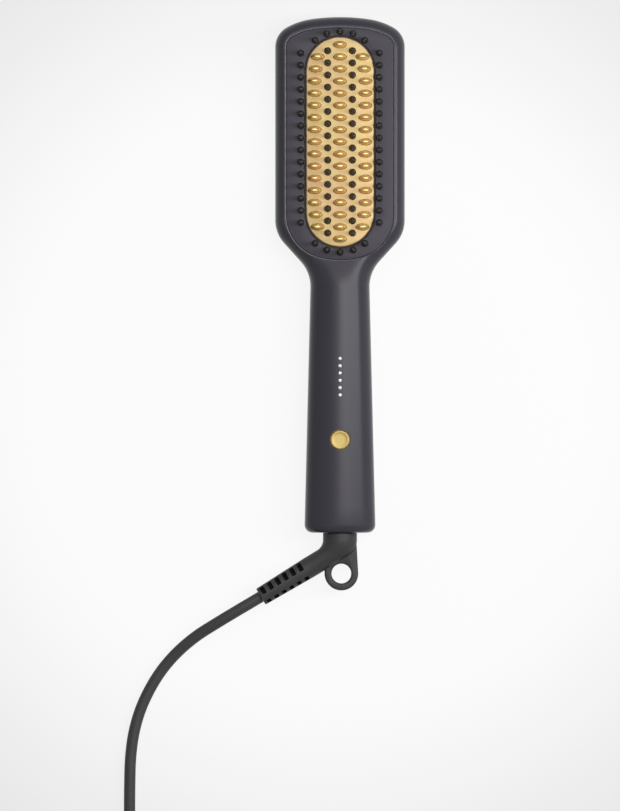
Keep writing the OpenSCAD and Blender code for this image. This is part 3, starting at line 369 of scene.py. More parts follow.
# two tones, roughness and its change, metal, grain and its depth, drift, specular, coarse part
finishRows = {
    "shellPlastic": ((0.037, 0.034, 0.045), (0.041, 0.0375, 0.050), 0.26, 0.012, 0, 5200, 0.008,
                     24, 0.17),
    # rimEdge is a light colour that paints the highlight along the rim's inner edge
    "rimEdge": ((0.20, 0.195, 0.215), (0.24, 0.235, 0.255), 0.36, 0.05, 0, 5200, 0.008, 60),
    "panelPlastic": ((0.046, 0.043, 0.054), (0.055, 0.051, 0.064), 0.42, 0.06, 0, 4200, 0.015,
                     30, 0.16),
    "bristlePlastic": ((0.011, 0.010, 0.013), (0.016, 0.014, 0.019), 0.30, 0.05, 0, 4000, 0.006,
                       80, 0.3),
    "pinNylon": ((0.008, 0.007, 0.006), (0.013, 0.011, 0.009), 0.42, 0.06, 0, 4000, 0.005, 90, 0.3),
    "sealSilicone": ((0.006, 0.006, 0.007), (0.010, 0.010, 0.011), 0.6, 0.1, 0, 3000, 0.01),
    "plateGold": ((0.43, 0.331, 0.125), (0.473, 0.327, 0.159), 0.44, 0.06, 0.35, 6500, 0.006, 38),
    "combGold": ((0.92, 0.62, 0.23), (0.96, 0.68, 0.30), 0.32, 0.05, 0.5, 6500, 0.005, 120),
    "buttonGold": ((0.37, 0.268, 0.080), (0.41, 0.300, 0.100), 0.44, 0.04, 0.4, 7000, 0.004, 90),
    "guardRubber": ((0.035, 0.035, 0.036), (0.042, 0.042, 0.043), 0.44, 0.04, 0, 3000, 0.01,
                    60, 0.2),
    # slotPaintedShade is a near-black that paints the shade deep inside the guard's slots
    "slotPaintedShade": ((0.0055, 0.0055, 0.0057), (0.01, 0.01, 0.01), 0.8, 0.05, 0, 3000, 0.01, 30, 0.05),
    "cordSheath": ((0.042, 0.042, 0.043), (0.050, 0.050, 0.051), 0.44, 0.05, 0, 3000, 0.01,
                   40, 0.2),
    "plugPlastic": ((0.022, 0.022, 0.024), (0.030, 0.030, 0.033), 0.38, 0.08, 0, 3600),
    "steelFinish": ((0.58, 0.58, 0.60), (0.50, 0.50, 0.52), 0.28, 0.1, 1, 3000, 0.008),
    "nickelFinish": ((0.78, 0.76, 0.72), (0.70, 0.68, 0.64), 0.16, 0.06, 1, 3000, 0.003),
    "brassFinish": ((0.80, 0.58, 0.24), (0.72, 0.50, 0.20), 0.25, 0.1, 1, 3000, 0.006),
    "lampPlastic": ((0.86, 0.87, 0.90), (0.90, 0.90, 0.92), 0.3, 0.04, 0, 5000, 0.003, 200),
    "boardFibre": ((0.03, 0.16, 0.07), (0.04, 0.20, 0.09), 0.4, 0.08, 0, 1500, 0.01),
    "ceramicFinish": ((0.82, 0.80, 0.74), (0.76, 0.74, 0.68), 0.5, 0.1, 0, 4000, 0.01),
    "micaFinish": ((0.42, 0.34, 0.22), (0.56, 0.48, 0.34), 0.35, 0.15, 0, 900, 0.02, 160),
    "shieldFibre": ((0.62, 0.59, 0.52), (0.54, 0.51, 0.45), 0.85, 0.08, 0, 1800, 0.06,
                    30, 0.5, 0.5),
    "capacitorFilm": ((0.70, 0.50, 0.06), (0.74, 0.56, 0.10), 0.3, 0.05),
    "componentResin": ((0.012, 0.012, 0.013), (0.02, 0.02, 0.02), 0.45, 0.1),
    "redSilicone": ((0.45, 0.04, 0.03), (0.52, 0.06, 0.05), 0.4, 0.08),
    "blueSheath": ((0.03, 0.09, 0.30), (0.04, 0.12, 0.36), 0.4, 0.08),
    "whiteAcetal": ((0.72, 0.72, 0.69), (0.66, 0.66, 0.63), 0.35),
}
finishes = {name: finish(name, *row) for name, row in finishRows.items()}
# painted shade at the teeth's feet, where the teeth shade one another
paintShadeLow(finishes["combGold"], 23.6, 25.2, (0.48, 0.25, 0.05))
print("finishes made")


# the floor and the light

studio = {
    "floorSize": 8.0,             # metres
    "white": (1.0, 1.0, 1.0),     # floor round the object, as the camera sees it
    # the floor greys from white towards this tone at the corners, a painted falloff of the light
    "edge": (0.80, 0.80, 0.80),   # floor towards the picture's corners
    "edgeFrom": 0.13, "edgeTo": 0.30,
    "paper": (0.80, 0.80, 0.80),  # floor as it takes light and shadow
    "shadow": 0.12,               # how much of the real shadow the floor shows
    "sky": 0.05,                  # plain light from all round
    "lamps": (  # place, aim, width, length, watts
        ((0.54, 0.05, 0.86), (0.02, 0.0, 0.0), 0.28, 1.30, 10.3),
        ((0.0, 0.40, 1.18), (0.0, 0.0, 0.0), 0.80, 0.90, 4.4),
    ),
}


def seenRays(tree):  # 1 for what the camera sees, also in metal and through clear parts
    path = addNode(tree, "LightPath")
    either = addNode(tree, "Math", operation="MAXIMUM")
    anyOf = addNode(tree, "Math", operation="MAXIMUM")
    wire(tree, (path, "Is Camera Ray", either, 0), (path, "Is Glossy Ray", either, 1),
         (either, 0, anyOf, 0), (path, "Is Transmission Ray", anyOf, 1))
    return anyOf


def makeFloor():
    selectNothing()
    bpy.ops.mesh.primitive_plane_add(size=studio["floorSize"], location=(0, 0, 0))
    floor = newest("floor")
    material = bpy.data.materials.new("paperFloor")
    material.use_nodes = True
    tree = material.node_tree
    paper = tree.nodes["Principled BSDF"]
    paper.inputs["Base Color"].default_value = (*studio["paper"], 1)
    paper.inputs["Roughness"].default_value = 0.9
    x, y = view["middle"]
    place = addNode(tree, "TexCoord")
    shift = addNode(tree, "VectorMath", {1: (x * mm, y * mm, 0)}, operation="SUBTRACT")
    away = addNode(tree, "VectorMath", operation="LENGTH")
    # painted falloff of light: the floor's seen colour greys with distance from the object towards
    # the corners
    span = softSpan(tree, studio["edgeFrom"], studio["edgeTo"])
    tone = addNode(tree, "Mix", {"A": (*studio["white"], 1), "B": (*studio["edge"], 1)},
                   data_type="RGBA")
    glow = addNode(tree, "Emission")
    seen = addNode(tree, "MixShader", {"Fac": studio["shadow"]})
    switch = addNode(tree, "MixShader")
    wire(tree, (place, "Object", shift, 0), (shift, "Vector", away, 0),
         (away, "Value", span, "Value"), (span, "Result", tone, "Factor"),
         (tone, "Result", glow, "Color"), (glow, "Emission", seen, 1), (paper, "BSDF", seen, 2),
         (seenRays(tree), 0, switch, "Fac"), (paper, "BSDF", switch, 1),
         (seen, "Shader", switch, 2), (switch, "Shader", tree.nodes["Material Output"], "Surface"))
    floor.data.materials.append(material)


def makeSky():
    world = bpy.data.worlds.new("sky")
    bpy.context.scene.world = world
    world.use_nodes = True
    tree = world.node_tree
    fill = tree.nodes["Background"]
    fill.inputs["Color"].default_value = (1, 1, 1, 1)
    fill.inputs["Strength"].default_value = studio["sky"]
    white = addNode(tree, "Background", {"Color": (*studio["white"], 1)})
    switch = addNode(tree, "MixShader")
    wire(tree, (seenRays(tree), 0, switch, "Fac"), (fill, "Background", switch, 1),
         (white, "Background", switch, 2),
         (switch, "Shader", tree.nodes["World Output"], "Surface"))


def addLamp(name, place, aim, wide, long, watts):
    light = bpy.data.lights.new(name, "AREA")
    light.shape = "RECTANGLE"
    light.size = wide
    light.size_y = long
    light.energy = watts
    lamp = bpy.data.objects.new(name, light)
    bpy.context.scene.collection.objects.link(lamp)
    lamp.location = place
    lamp.visible_camera = False
    lamp.rotation_euler = (Vector(aim) - Vector(place)).to_track_quat("-Z", "Y").to_euler()


makeFloor()
makeSky()
for number, lampSet in enumerate(studio["lamps"]):
    addLamp("lamp%d" % number, *lampSet)
bpy.context.scene.view_settings.view_transform = "Standard"
print("floor and lamps made")


# the cord, from the guard over the floor into its coil and to the plug, as the solids run

handleEnd = -129.0
guardTurn = math.radians(58.8)
guardWay = Vector((-math.sin(guardTurn), -math.cos(guardTurn), 0))
guardUp = Vector((-math.cos(guardTurn), math.sin(guardTurn), 0))
guardBend, guardLong = 8.1, 46.3   # mm from the handle's end to the bend, and from there on
guardEnd = Vector((0, handleEnd - guardBend, seamZ)) + guardLong * guardWay

cordSet = {
    "wide": 5.7,
    "sides": 20,
    "intoGuard": 0.1,
    "run": ((-45, -35.3, 14), (-51.6, -39.2, 13.6), (-61.8, -45.4, 11.6), (-72, -52, 8.6),
            (-81.2, -59.8, 5.5), (-89.1, -68.8, 3.5), (-95.5, -79, 2.9), (-100.4, -90, 2.85),
            (-103.5, -101.5, 2.85), (-105, -113.5, 2.85), (-105.4, -126, 2.85),
            (-105.5, -138, 2.85), (-105.5, -150, 2.85), (-105.4, -162, 2.85),
            (-105.2, -174, 2.85), (-105.1, -186, 2.85)),
    "step": 6.2,          # from one turn of the coil to the next
    "innerRadius": 24.4,
    "turnsIn": 3.5, "turnsOver": 0.5, "turnsOut": 3.25,
    "coilAt": (-59.0, -200),
    "pointsPerTurn": 48,
    "tail": ((10, 0, 0), (20, 0, -0.2), (30, -0.3, -0.7), (40, -0.8, -1.3), (50, -1.2, -1.8),
             (60, -1.2, -2.05)),
}


def coilPoint(turn):  # inwards on the floor, over to the upper layer, and outwards again
    inner, step, over = cordSet["innerRadius"], cordSet["step"], cordSet["turnsOver"]
    rise = min(1, max(0, (turn - cordSet["turnsIn"]) / over))
    out = turn - cordSet["turnsIn"] - over
    if turn < cordSet["turnsIn"]:
        radius = inner + step * (cordSet["turnsIn"] - turn)
    elif out > 0:
        radius = inner + step * out
    else:
        radius = inner - step / (2 * math.pi) * math.sin(math.pi * rise)
    a = math.pi + 2 * math.pi * turn
    x, y = cordSet["coilAt"]
    return Vector((x + radius * math.cos(a), handleEnd + y + radius * math.sin(a),
                   cordSet["wide"] / 2 + step * (1 - math.cos(math.pi * rise)) / 2))


def smoothRun(points, between, first, last):  # a smooth line through the points
    line = []
    for i, (a, b) in enumerate(zip(points, points[1:])):
        size = (b - a).length
        before, after = first * size, last * size
        if i > 0:
            before = (b - points[i - 1]) * size / (size + (a - points[i - 1]).length)
        if i < len(points) - 2:
            after = (points[i + 2] - a) * size / (size + (points[i + 2] - b).length)
        for k in range(between):
            t = k / between
            line.append((2 * t ** 3 - 3 * t * t + 1) * a + (t ** 3 - 2 * t * t + t) * before
                        + (3 * t * t - 2 * t ** 3) * b + (t ** 3 - t * t) * after)
    return line + [points[-1]]


def tubeRows(points, radius, sides, first, last):
    ways = [first] + [b - a for a, b in zip(points, points[2:])] + [last]
    turns = [2 * math.pi * k / sides for k in range(sides + 1)]
    rows = []
    for point, way in zip(points, ways):
        way = way.normalized()
        side = way.cross(Vector((0, 0, 1))).normalized()
        up = side.cross(way)
        rows.append([point + radius * (math.cos(t) * side + math.sin(t) * up) for t in turns])
    return rows


turnsAll = cordSet["turnsIn"] + cordSet["turnsOver"] + cordSet["turnsOut"]
coilStart = coilPoint(0) + Vector((0, cordSet["wide"], 0))
coilEnd = coilPoint(turnsAll) + Vector((cordSet["wide"], 0, 0))
plugAt = coilEnd + Vector(cordSet["tail"][-1])


def makeCord():
    plugWay = Vector((1, 0, 0))
    loose = [guardEnd + cordSet["intoGuard"] * guardWay]
    loose += [Vector((x, handleEnd + y, z)) for x, y, z in cordSet["run"]] + [coilStart]
    steps = round(turnsAll * cordSet["pointsPerTurn"])
    points = smoothRun(loose, 4, guardWay, Vector((0, -1, 0)))
    points += [coilPoint(turnsAll * i / steps) for i in range(steps + 1)]
    tail = [coilEnd] + [coilEnd + Vector(p) for p in cordSet["tail"]]
    points += smoothRun(tail, 3, plugWay, plugWay)
    rows = tubeRows(points, cordSet["wide"] / 2, cordSet["sides"], guardWay, plugWay)
    cord = gridOf(rows, "powerCord", (False, False))
    edit(cord)
    bpy.ops.mesh.fill_holes(sides=0)
    mergeAndTurn()
    smooth(cord, 50)
    length = sum((b - a).length for a, b in zip(points, points[1:]))
    return cord, [tuple(p * mm) for p in points], length * mm


powerCord, cordPath, cordLength = makeCord()
print("cord made, %.3f m long" % cordLength)


# the plug at the cord's end

plugSet = {
    "length": 34, "wide": 35, "thick": 14, "neckRadius": 4.45, "neckLong": 2, "spread": 24,
    "edge": 1.2, "neckSoft": 0.6, "square": 1.6, "sides": 48,
    "stations": [0, 0.15, 0.5, 1.2, 2.5, *range(4, 24, 2), *range(24, 33), 32.8, 33.3, 33.7,
                 33.93, 34],
    "pinPitch": 18.6, "pinSides": 32,
    "sleeves": (-0.5, 10, 2.0, 0.04),   # start, end, radius and rounding
    "pins": (0.1, 19, 1.96, 0.9),
}


def eased(f):  # 0 to 1 with a soft start and end
    f = min(1, max(0, f))
    return f * f * (3 - 2 * f)


def makePlugBody():
    neck, edge, count = plugSet["neckRadius"], plugSet["edge"], plugSet["sides"]
    rows = []
    for x in plugSet["stations"]:
        f = eased((x - plugSet["neckLong"]) / (plugSet["spread"] - plugSet["neckLong"]))
        atNeck, atFace = max(0, edge - x) / edge, max(0, x - (plugSet["length"] - edge)) / edge
        inset = edge * (1 - math.sqrt(max(0, 1 - max(atNeck, atFace) ** 2)))
        inset *= plugSet["neckSoft"] if atNeck else 1
        halfWide = neck + (plugSet["wide"] / 2 - neck) * f - inset
        halfThick = neck + (plugSet["thick"] / 2 - neck) * f - inset
        power = 2 / (2 + plugSet["square"] * f)
        row = []
        for k in range(count + 1):
            c, t = math.cos(2 * math.pi * k / count), math.sin(2 * math.pi * k / count)
            row.append(plugAt + Vector((x, math.copysign(abs(c) ** power, c) * halfWide,
                                        math.copysign(abs(t) ** power, t) * halfThick)))
        rows.append(row)
    return gridOf(rows, "plugBody")


def makePlugPins(name, lowAt, highAt, radius, blunt):
    pins = []
    for side in (-1, 1):
        pin = turned([(0, lowAt), (radius, lowAt), (radius, highAt - blunt),
                      (radius - 0.3 * blunt, highAt - 0.3 * blunt), (radius - blunt, highAt),
                      (0, highAt)], plugSet["pinSides"])
        place = plugAt + Vector((plugSet["length"], side * plugSet["pinPitch"] / 2, 0))
        pins.append(settle(pin, place, (0, math.radians(90), 0)))
    return joined(pins, name)


plugBody = smooth(makePlugBody(), 40)
sleeves = smooth(makePlugPins("plugSleeves", *plugSet["sleeves"]))
plugPins = smooth(makePlugPins("plugPins", *plugSet["pins"]), 50)
dress(plugBody, "housing", "plug", "plugPlastic", "plug_body")
dress(sleeves, "housing", "plug", "plugPlastic")
dress(plugPins, "housing", "plated", "nickelFinish", "plug_pins")
dress(powerCord, None, "cord", "cordSheath", "cord_free", "cord_coil", "cord_tail")
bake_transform(powerCord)
print("plug made")


# the body: both shells follow one outline and the solids' own sections

body = {  # millimetres and degrees, the solids' own sizes
    "length": 258, "headWide": 64.8, "crownRadius": 101, "crownHalf": 14.5, "crownMid": 35,
    "corner": 11.3, "sideLong": 101.7, "shoulder": 17.2, "shoulderTurn": 42.2,
    "neckRadius": 19, "neckWide": 29.6, "endWide": 35.6, "endRound": 4,
    "restFlat": 0.2, "handleHigh": 14, "handlePower": 2.25, "backRound": 14, "backPower": 2.2,
    "rimHigh": 9, "slopeWide": 4.1, "rimRound": 8, "landWide": 1.3,
    "wall": 2, "endWall": 3, "endInner": 1.5,
    "seamGroove": 0.25,   # half the depth of the parting line
    "rimSoft": 0.45,      # rounding of the rim's inner edge
    "boreSoft": 0.12,     # rounding of the holes in the handle
    "bushBore": 8.0,
}
halfHead, halfNeck, halfEnd = body["headWide"] / 2, body["neckWide"] / 2, body["endWide"] / 2
topY, endY = body["length"] / 2, -body["length"] / 2
rearDeep = seamZ + body["restFlat"]
slopeHigh = body["rimHigh"] / math.sqrt(1 - (1 - body["slopeWide"] / body["rimRound"]) ** 2)
rimZ, handleZ = seamZ + body["rimHigh"], seamZ + body["handleHigh"]
openIn = body["slopeWide"] + body["landWide"]


def mix(a, b, f):
    return a + (b - a) * f


def arcRun(middle, radius, start, end, count, first=0):  # points with their outward directions
    run = []
    for i in range(first, count + 1):
        a = math.radians(mix(start, end, i / count))
        way = math.sin(a), math.cos(a)
        run.append((middle[0] + radius * way[0], middle[1] + radius * way[1], *way))
    return run


def towards(point, length, degrees):
    a = math.radians(degrees)
    return (point[0] + length * math.sin(a), point[1] + length * math.cos(a))


crownAt = (0, topY - body["crownRadius"])
crownTurn = math.degrees(math.asin(body["crownHalf"] / body["crownRadius"]))
midAt = towards(crownAt, body["crownRadius"] - body["crownMid"], crownTurn)
midTurn = math.degrees(math.asin(
    (halfHead - body["corner"] - midAt[0]) / (body["crownMid"] - body["corner"])))
cornerAt = towards(midAt, body["crownMid"] - body["corner"], midTurn)
shoulderAt = (halfHead - body["shoulder"], topY - body["sideLong"])
turnSin, turnCos = towards((0, 0), 1, body["shoulderTurn"])
shoulderDrop = (body["shoulder"] + body["neckRadius"]) * (1 - turnCos)
shoulderRun = (halfHead - halfNeck - shoulderDrop) / turnSin
shoulderEnd = 90 + body["shoulderTurn"]
runStart = towards(shoulderAt, body["shoulder"], shoulderEnd)
runEnd = (runStart[0] - shoulderRun * turnSin, runStart[1] - shoulderRun * turnCos)
neckAt = towards(runEnd, body["neckRadius"], shoulderEnd)
neckY = neckAt[1]
fanY = mix(cornerAt[1], shoulderAt[1], 0.32)   # above here the head's sections fan out


def crownRows(cut, cornerSteps):  # the right half of the head's top, this far inside the outline
    rows = arcRun(crownAt, body["crownRadius"] - cut, 0, crownTurn, 6)
    rows += arcRun(midAt, body["crownMid"] - cut, crownTurn, midTurn, 8, 1)
    return rows + arcRun(cornerAt, body["corner"] - cut, midTurn, 90, cornerSteps, 1)


def edgeRows():
    rows = crownRows(0, 16)
    rows += [(halfHead, mix(cornerAt[1], fanY, f), 1, 0) for f in (0.25, 0.5, 0.75, 1)]
    rows += [(halfHead, mix(fanY, shoulderAt[1], f), 1, 0) for f in (0.33, 0.66)]
    rows += arcRun(shoulderAt, body["shoulder"], 90, shoulderEnd, 12)
    out = towards((0, 0), 1, shoulderEnd)
    for f in (0.25, 0.5, 0.75):
        rows.append((mix(runStart[0], runEnd[0], f), mix(runStart[1], runEnd[1], f), *out))
    rows += [(x, y, -nx, -ny) for x, y, nx, ny in
             arcRun(neckAt, body["neckRadius"], shoulderEnd + 180, 270, 14)]
    return rows


def handleHalf(y):
    return mix(halfNeck, halfEnd, (neckY - y) / (neckY - endY))


def bodyRows(inset, atEnd, radius):  # places and outward ways, and how far the handle's end rounds
    rows = [(x - inset * nx, y - inset * ny, nx, ny, 0) for x, y, nx, ny in edgeRows()]
    handleSteps, endSteps = 14, 9
    for i in range(1, handleSteps + 1):
        y = mix(neckY, endY + atEnd + radius, i / handleSteps)
        rows.append((handleHalf(y) - inset, y, 1, 0, 0))
    for i in range(1, endSteps + 1):
        a = math.radians(90 * i / endSteps)
        y = endY + atEnd + radius * (1 - math.sin(a))
        drop = radius * (1 - math.cos(a))
        rows.append((handleHalf(y) - inset - drop, y, 1, 0, drop))
    return rows


# a section runs from the seam to the middle in steps called u, and the rim's edge lies from
# softFrom to softTo
firstSteps = [0, 0.1, 0.3, 0.6, 1, 1.4, 1.8, 2.2, 2.6, 3, 3.4, 3.8]
frontSteps = firstSteps + [4.2, 4.5, 4.8, 4.9, 5, 5.1, 5.2, 5.5, 5.9, 6.3, 6.7, 7.1, 7.5, 8]
rearSteps = firstSteps + [4.2, 4.6, 5, 5.4, 5.7, 6, 6.5, 7, 7.5, 8]
softFrom, softTo, backTo, lastStep = 4.8, 5.2, 6, 8


def slopeUp(s, inset):
    return (slopeHigh - inset) * math.sqrt(max(0, 1 - (1 - s / (body["rimRound"] - inset)) ** 2))


def frontHead(u, inset, reach, slant):
    wide, high, soft = body["rimRound"] - inset, body["rimHigh"] - inset, body["rimSoft"]
    corner = wide * (1 - math.sqrt(1 - (high / (slopeHigh - inset)) ** 2))
    low = corner - soft
    if u <= softFrom:
        s = low * (u / softFrom) ** 1.75
        return s / slant, slopeUp(s, inset)
    if u <= softTo:
        t = (u - softFrom) / (softTo - softFrom)
        s = (1 - t) ** 2 * low + 2 * t * (1 - t) * corner + t * t * (corner + soft)
        return s / slant, (1 - t) ** 2 * slopeUp(low, inset) + (1 - (1 - t) ** 2) * high
    return mix((corner + soft) / slant, reach, (u - softTo) / (lastStep - softTo)), high


def rearHead(u, inset, reach, slant):
    a, k = math.radians(90 * min(u, backTo) / backTo), 2 / body["backPower"]
    s = min((body["backRound"] - inset) * (1 - math.cos(a) ** k) / slant, 0.9 * reach)
    if u <= backTo:
        return s, (rearDeep - inset) * math.sin(a) ** k
    return mix(s, reach, (u - backTo) / (lastStep - backTo)), rearDeep - inset


def sectionOf(row, front, inset, skirt, groove):
    x, y, nx, ny, drop = row
    spine = mix(fanY, y, 0.55) if y > fanY else y
    reach = math.hypot(x, y - spine)
    slant = max(0.5, (x * nx + (y - spine) * ny) / reach)
    handlePart = eased((shoulderAt[1] - y) / (shoulderAt[1] - neckY))
    up = 1 if front else -1
    high = (body["handleHigh"] if front else rearDeep) - inset - drop
    k = 2 / body["handlePower"]
    right = []
    for u in (frontSteps if front else rearSteps):
        headIn, headUp = (frontHead if front else rearHead)(u, inset, reach, slant)
        turn = math.radians(90 * u / lastStep)
        handleIn, handleUp = reach * (1 - max(0, math.cos(turn)) ** k), high * math.sin(turn) ** k
        along = groove / slant if u == 0 else mix(headIn, handleIn, handlePart)
        right.append((x * (1 - along / reach), y + (spine - y) * along / reach,
                      seamZ + up * mix(headUp, handleUp, handlePart)))
    ring = [(-px, py, pz) for px, py, pz in right[:-1]] + right[::-1]
    if skirt:
        px, py, foot = right[0][0], right[0][1], seamZ - up * skirt
        ring = [(-px, py, foot)] + ring + [(px, py, foot)]
    return ring + [ring[0]]


def bodyHalf(front, name):
    rows = [sectionOf(row, front, 0, 0, body["seamGroove"])
            for row in bodyRows(0, 0, body["endRound"])]
    return gridOf(rows, name, (False, True))


def bodyHollow(front):  # goes 1 mm past the seam
    rows = [sectionOf(row, front, body["wall"], 1, 0)
            for row in bodyRows(body["wall"], body["endWall"], body["endInner"])]
    return gridOf(rows, caps=(False, True))


panel = {  # the bristle panel
    "tail": 20.1, "lowRadius": 43, "corner": 22, "gap": 0.2, "drop": 0.5, "thick": 2.2,
    "ledge": 1.6, "ledgeThick": 1.5, "edge": 0.35, "rimEdge": 0.35,
    "pitch": 6.05, "free": 19, "shift": 2, "off": 2.75, "endCount": 5, "endStep": 19.6,
    "bristleHigh": 10, "foot": 2.9, "tip": 1.6, "footSoft": 0.3,
}
plate = {  # the gold plate with its teeth and pins
    "side": 15.5, "over": 3.1, "margin": 10.3, "proud": 0.7, "thick": 2.5,
    "skirt": 3.3, "skirtThick": 1.5, "flange": 2.2, "flangeThick": 1.2, "gap": 0.8, "edge": 0.6,
    "pitch": 6.07, "toothSide": 4.2, "endIn": (1.5, 0.55), "toothLong": 6.6, "toothTip": 3.4,
    "toothWide": 3.3, "toothBlunt": 0.8, "pinFoot": 3, "pinTip": 1.7, "pinHigh": 9.6,
    "pinGap": 0.12, "pinSoft": 0.25, "carrier": 1.6, "carrierEdge": 1.03, "heaterGap": 0.67,
    "heaterLong": 70, "bossRadius": 2.6,
    "toothLevels": (  # height, how far the foot or tip grows, and how far towards the tip
        (-0.3, 0.5, 0), (0, 0.4, 0), (0.12, 0.15, 0), (0.45, 0, 0), (2.5, 0, 0.29), (5, 0, 0.62),
        (7.3, 0, 0.94), (7.62, -0.12, 1), (7.85, -0.38, 1.02), (7.97, -0.75, 1.02)),
}
panelZ = rimZ - panel["drop"]
ledgeZ = panelZ - panel["thick"]
plateZ = panelZ + plate["proud"]
pocketZ = plateZ - plate["thick"]
skirtZ = pocketZ - plate["skirt"]
plateRadius = halfHead - plate["side"]
plateLong = body["sideLong"] + plate["over"]
plateY = topY - plate["margin"] - plateLong / 2
plateArc = plateLong / 2 - plateRadius
toothX = plateRadius - plate["toothSide"]
pinX = 0.486 * toothX
lowAt = (0, topY - body["sideLong"] - panel["tail"] + panel["lowRadius"])
lowReach = panel["lowRadius"] - panel["corner"]
panelCornerX = halfHead - openIn - panel["corner"]
panelCornerAt = (panelCornerX, lowAt[1] - math.sqrt(lowReach ** 2 - panelCornerX ** 2))
lowTurn = math.degrees(math.asin(panelCornerX / lowReach))


def ringAt(outline, z):
    return [(x, y, z) for x, y in outline + outline[:1]]


def panelOutline(inset):
    run = crownRows(openIn + inset, 14)
    run += arcRun(panelCornerAt, panel["corner"] - inset, 90, 180 - lowTurn, 20)
    run += arcRun(lowAt, panel["lowRadius"] - inset, 180 - lowTurn, 180, 7, 1)
    right = [(x, y) for x, y, _, _ in run]
    return right + [(-x, y) for x, y in right[-2:0:-1]]


def stadium(radius, halfFlat=plateArc, middleY=plateY):  # two half circles, as the plate is
    return [(x, y) for side in (1, -1) for x, y, _, _ in
            arcRun((0, middleY + side * halfFlat), radius, side * 90, side * 90 - 180, 32)]


def columns(x, middle, count, pitch):  # places in two rows along the object
    return [(side * x, middle + (i - (count - 1) / 2) * pitch)
            for side in (-1, 1) for i in range(count)]


def bothWays(x, y):  # a place and its mirror images about the head's middle
    return [(side * x, plateY + up * y) for side in (-1, 1) for up in (-1, 1)]


inside = {  # what the shells hold: screws, posts and seats
    "earAt": 3, "earTurn": 45, "lowEarIn": 2.8, "lowEarTurn": 114,
    "ear": 4.6, "earClear": 4.75, "earDeep": 3.5, "earUp": 1.5, "earPost": 3.2,
    "pilot": 1.25, "pilotDeep": 11.5, "screwHead": 2.35, "screwDown": 1.8,
    "bossAt": 24.5, "frontBoss": 3.2, "rearBoss": 3.6, "bossFoot": 17, "bossSkin": 3.5,
    "boardAt": 31, "boardShort": 17.2, "post": 2, "postX": 7, "postIn": 4, "postHigh": 19,
    "smallPilot": 0.95, "smallPilotFoot": 14,
    "shieldOut": 0.1, "shieldShort": 14.4, "shieldPostHigh": 8,
    "blockHalf": 5, "blockFrom": 8.9, "blockTo": 16.5, "blockHigh": 2.6,
    "seat": ((0, -1), (2.9, -1), (2.9, -0.001), (2.6, 0.3), (2.6, 4), (1.25, 4), (1.25, 18),
             (0, 18)),   # radius and height
}
over = 1    # how far a cutter goes past a face
far = 40    # a height above everything
bossY = endY + inside["bossAt"]
ears = [towards(cornerAt, inside["earAt"], inside["earTurn"]),
        towards(panelCornerAt, panel["corner"] - inside["lowEarIn"], inside["lowEarTurn"])]
earPlaces = [(side * x, y) for x, y in ears for side in (-1, 1)]
earFoot = ledgeZ - inside["earDeep"]

buttonSet = {
    "at": 46.5, "wide": 9.6, "gap": 0.35, "proud": 0.7, "dish": 0.25, "foot": 24.0,
    "flange": 1.1, "flangeThick": 1,
    "edge": ((0, 0.9), (0.08, 0.5), (0.22, 0.22), (0.42, 0.05), (0.65, 0), (0.95, 0.03),
             (1.3, 0.1), (1.7, 0.2125), (2.1, 0.25), (2.9, 0.25), (3.8, 0.25)),   # in and down
}
lightSet = {"at": 78, "count": 6, "pitch": 3.65, "wide": 1.6, "gap": 0.05, "foot": 25.2,
            "bar": (2, 21.3, 25.7), "barOver": 3.4, "barEdge": 0.2}
lightAt = endY + lightSet["at"]
lightPlaces = columns(0, lightAt, lightSet["count"], lightSet["pitch"])[:lightSet["count"]]
buttonY = endY + buttonSet["at"]


def skinZ(x, y):  # height of the handle's front at a place
    power = body["handlePower"]
    across = min(1, abs(x) / handleHalf(y))
    return seamZ + body["handleHigh"] * (1 - across ** power) ** (1 / power)


def softBore(y, radius, sides):  # a cutter through the handle's front that also breaks its edge
    soft = body["boreSoft"]
    rows = []
    for out, height in ((0, None), (0, -soft), (soft, 0.01), (soft, None)):
        row = []
        for k in range(sides + 1):
            a = 2 * math.pi * k / sides
            px, py = (radius + out) * math.cos(a), y + (radius + out) * math.sin(a)
            end = handleZ + 4 if out else seamZ
            row.append((px, py, end if height is None else skinZ(px, py) + height))
        rows.append(row)
    return gridOf(rows)


def alongHandle(radius, start, end, sides=64):  # a cutter along the handle's own axis
    piece = drum(0, 0, radius, start, end, sides)
    return settle(piece, (0, endY, seamZ), (math.radians(-90), 0, 0))


def bushBore():
    return alongHandle(body["bushBore"], -over, body["endWall"] + 2)


def makeScrewBores():
    pilot, head = inside["pilot"], inside["screwHead"]
    step, top = ledgeZ - inside["screwDown"] - seamZ, ledgeZ + 0.4 - seamZ
    bore = turned([(0, -over), (pilot, -over), (pilot, step), (head, step), (head, top),
                   (0, top)], 32)
    return copiesOf(bore, earPlaces, seamZ)


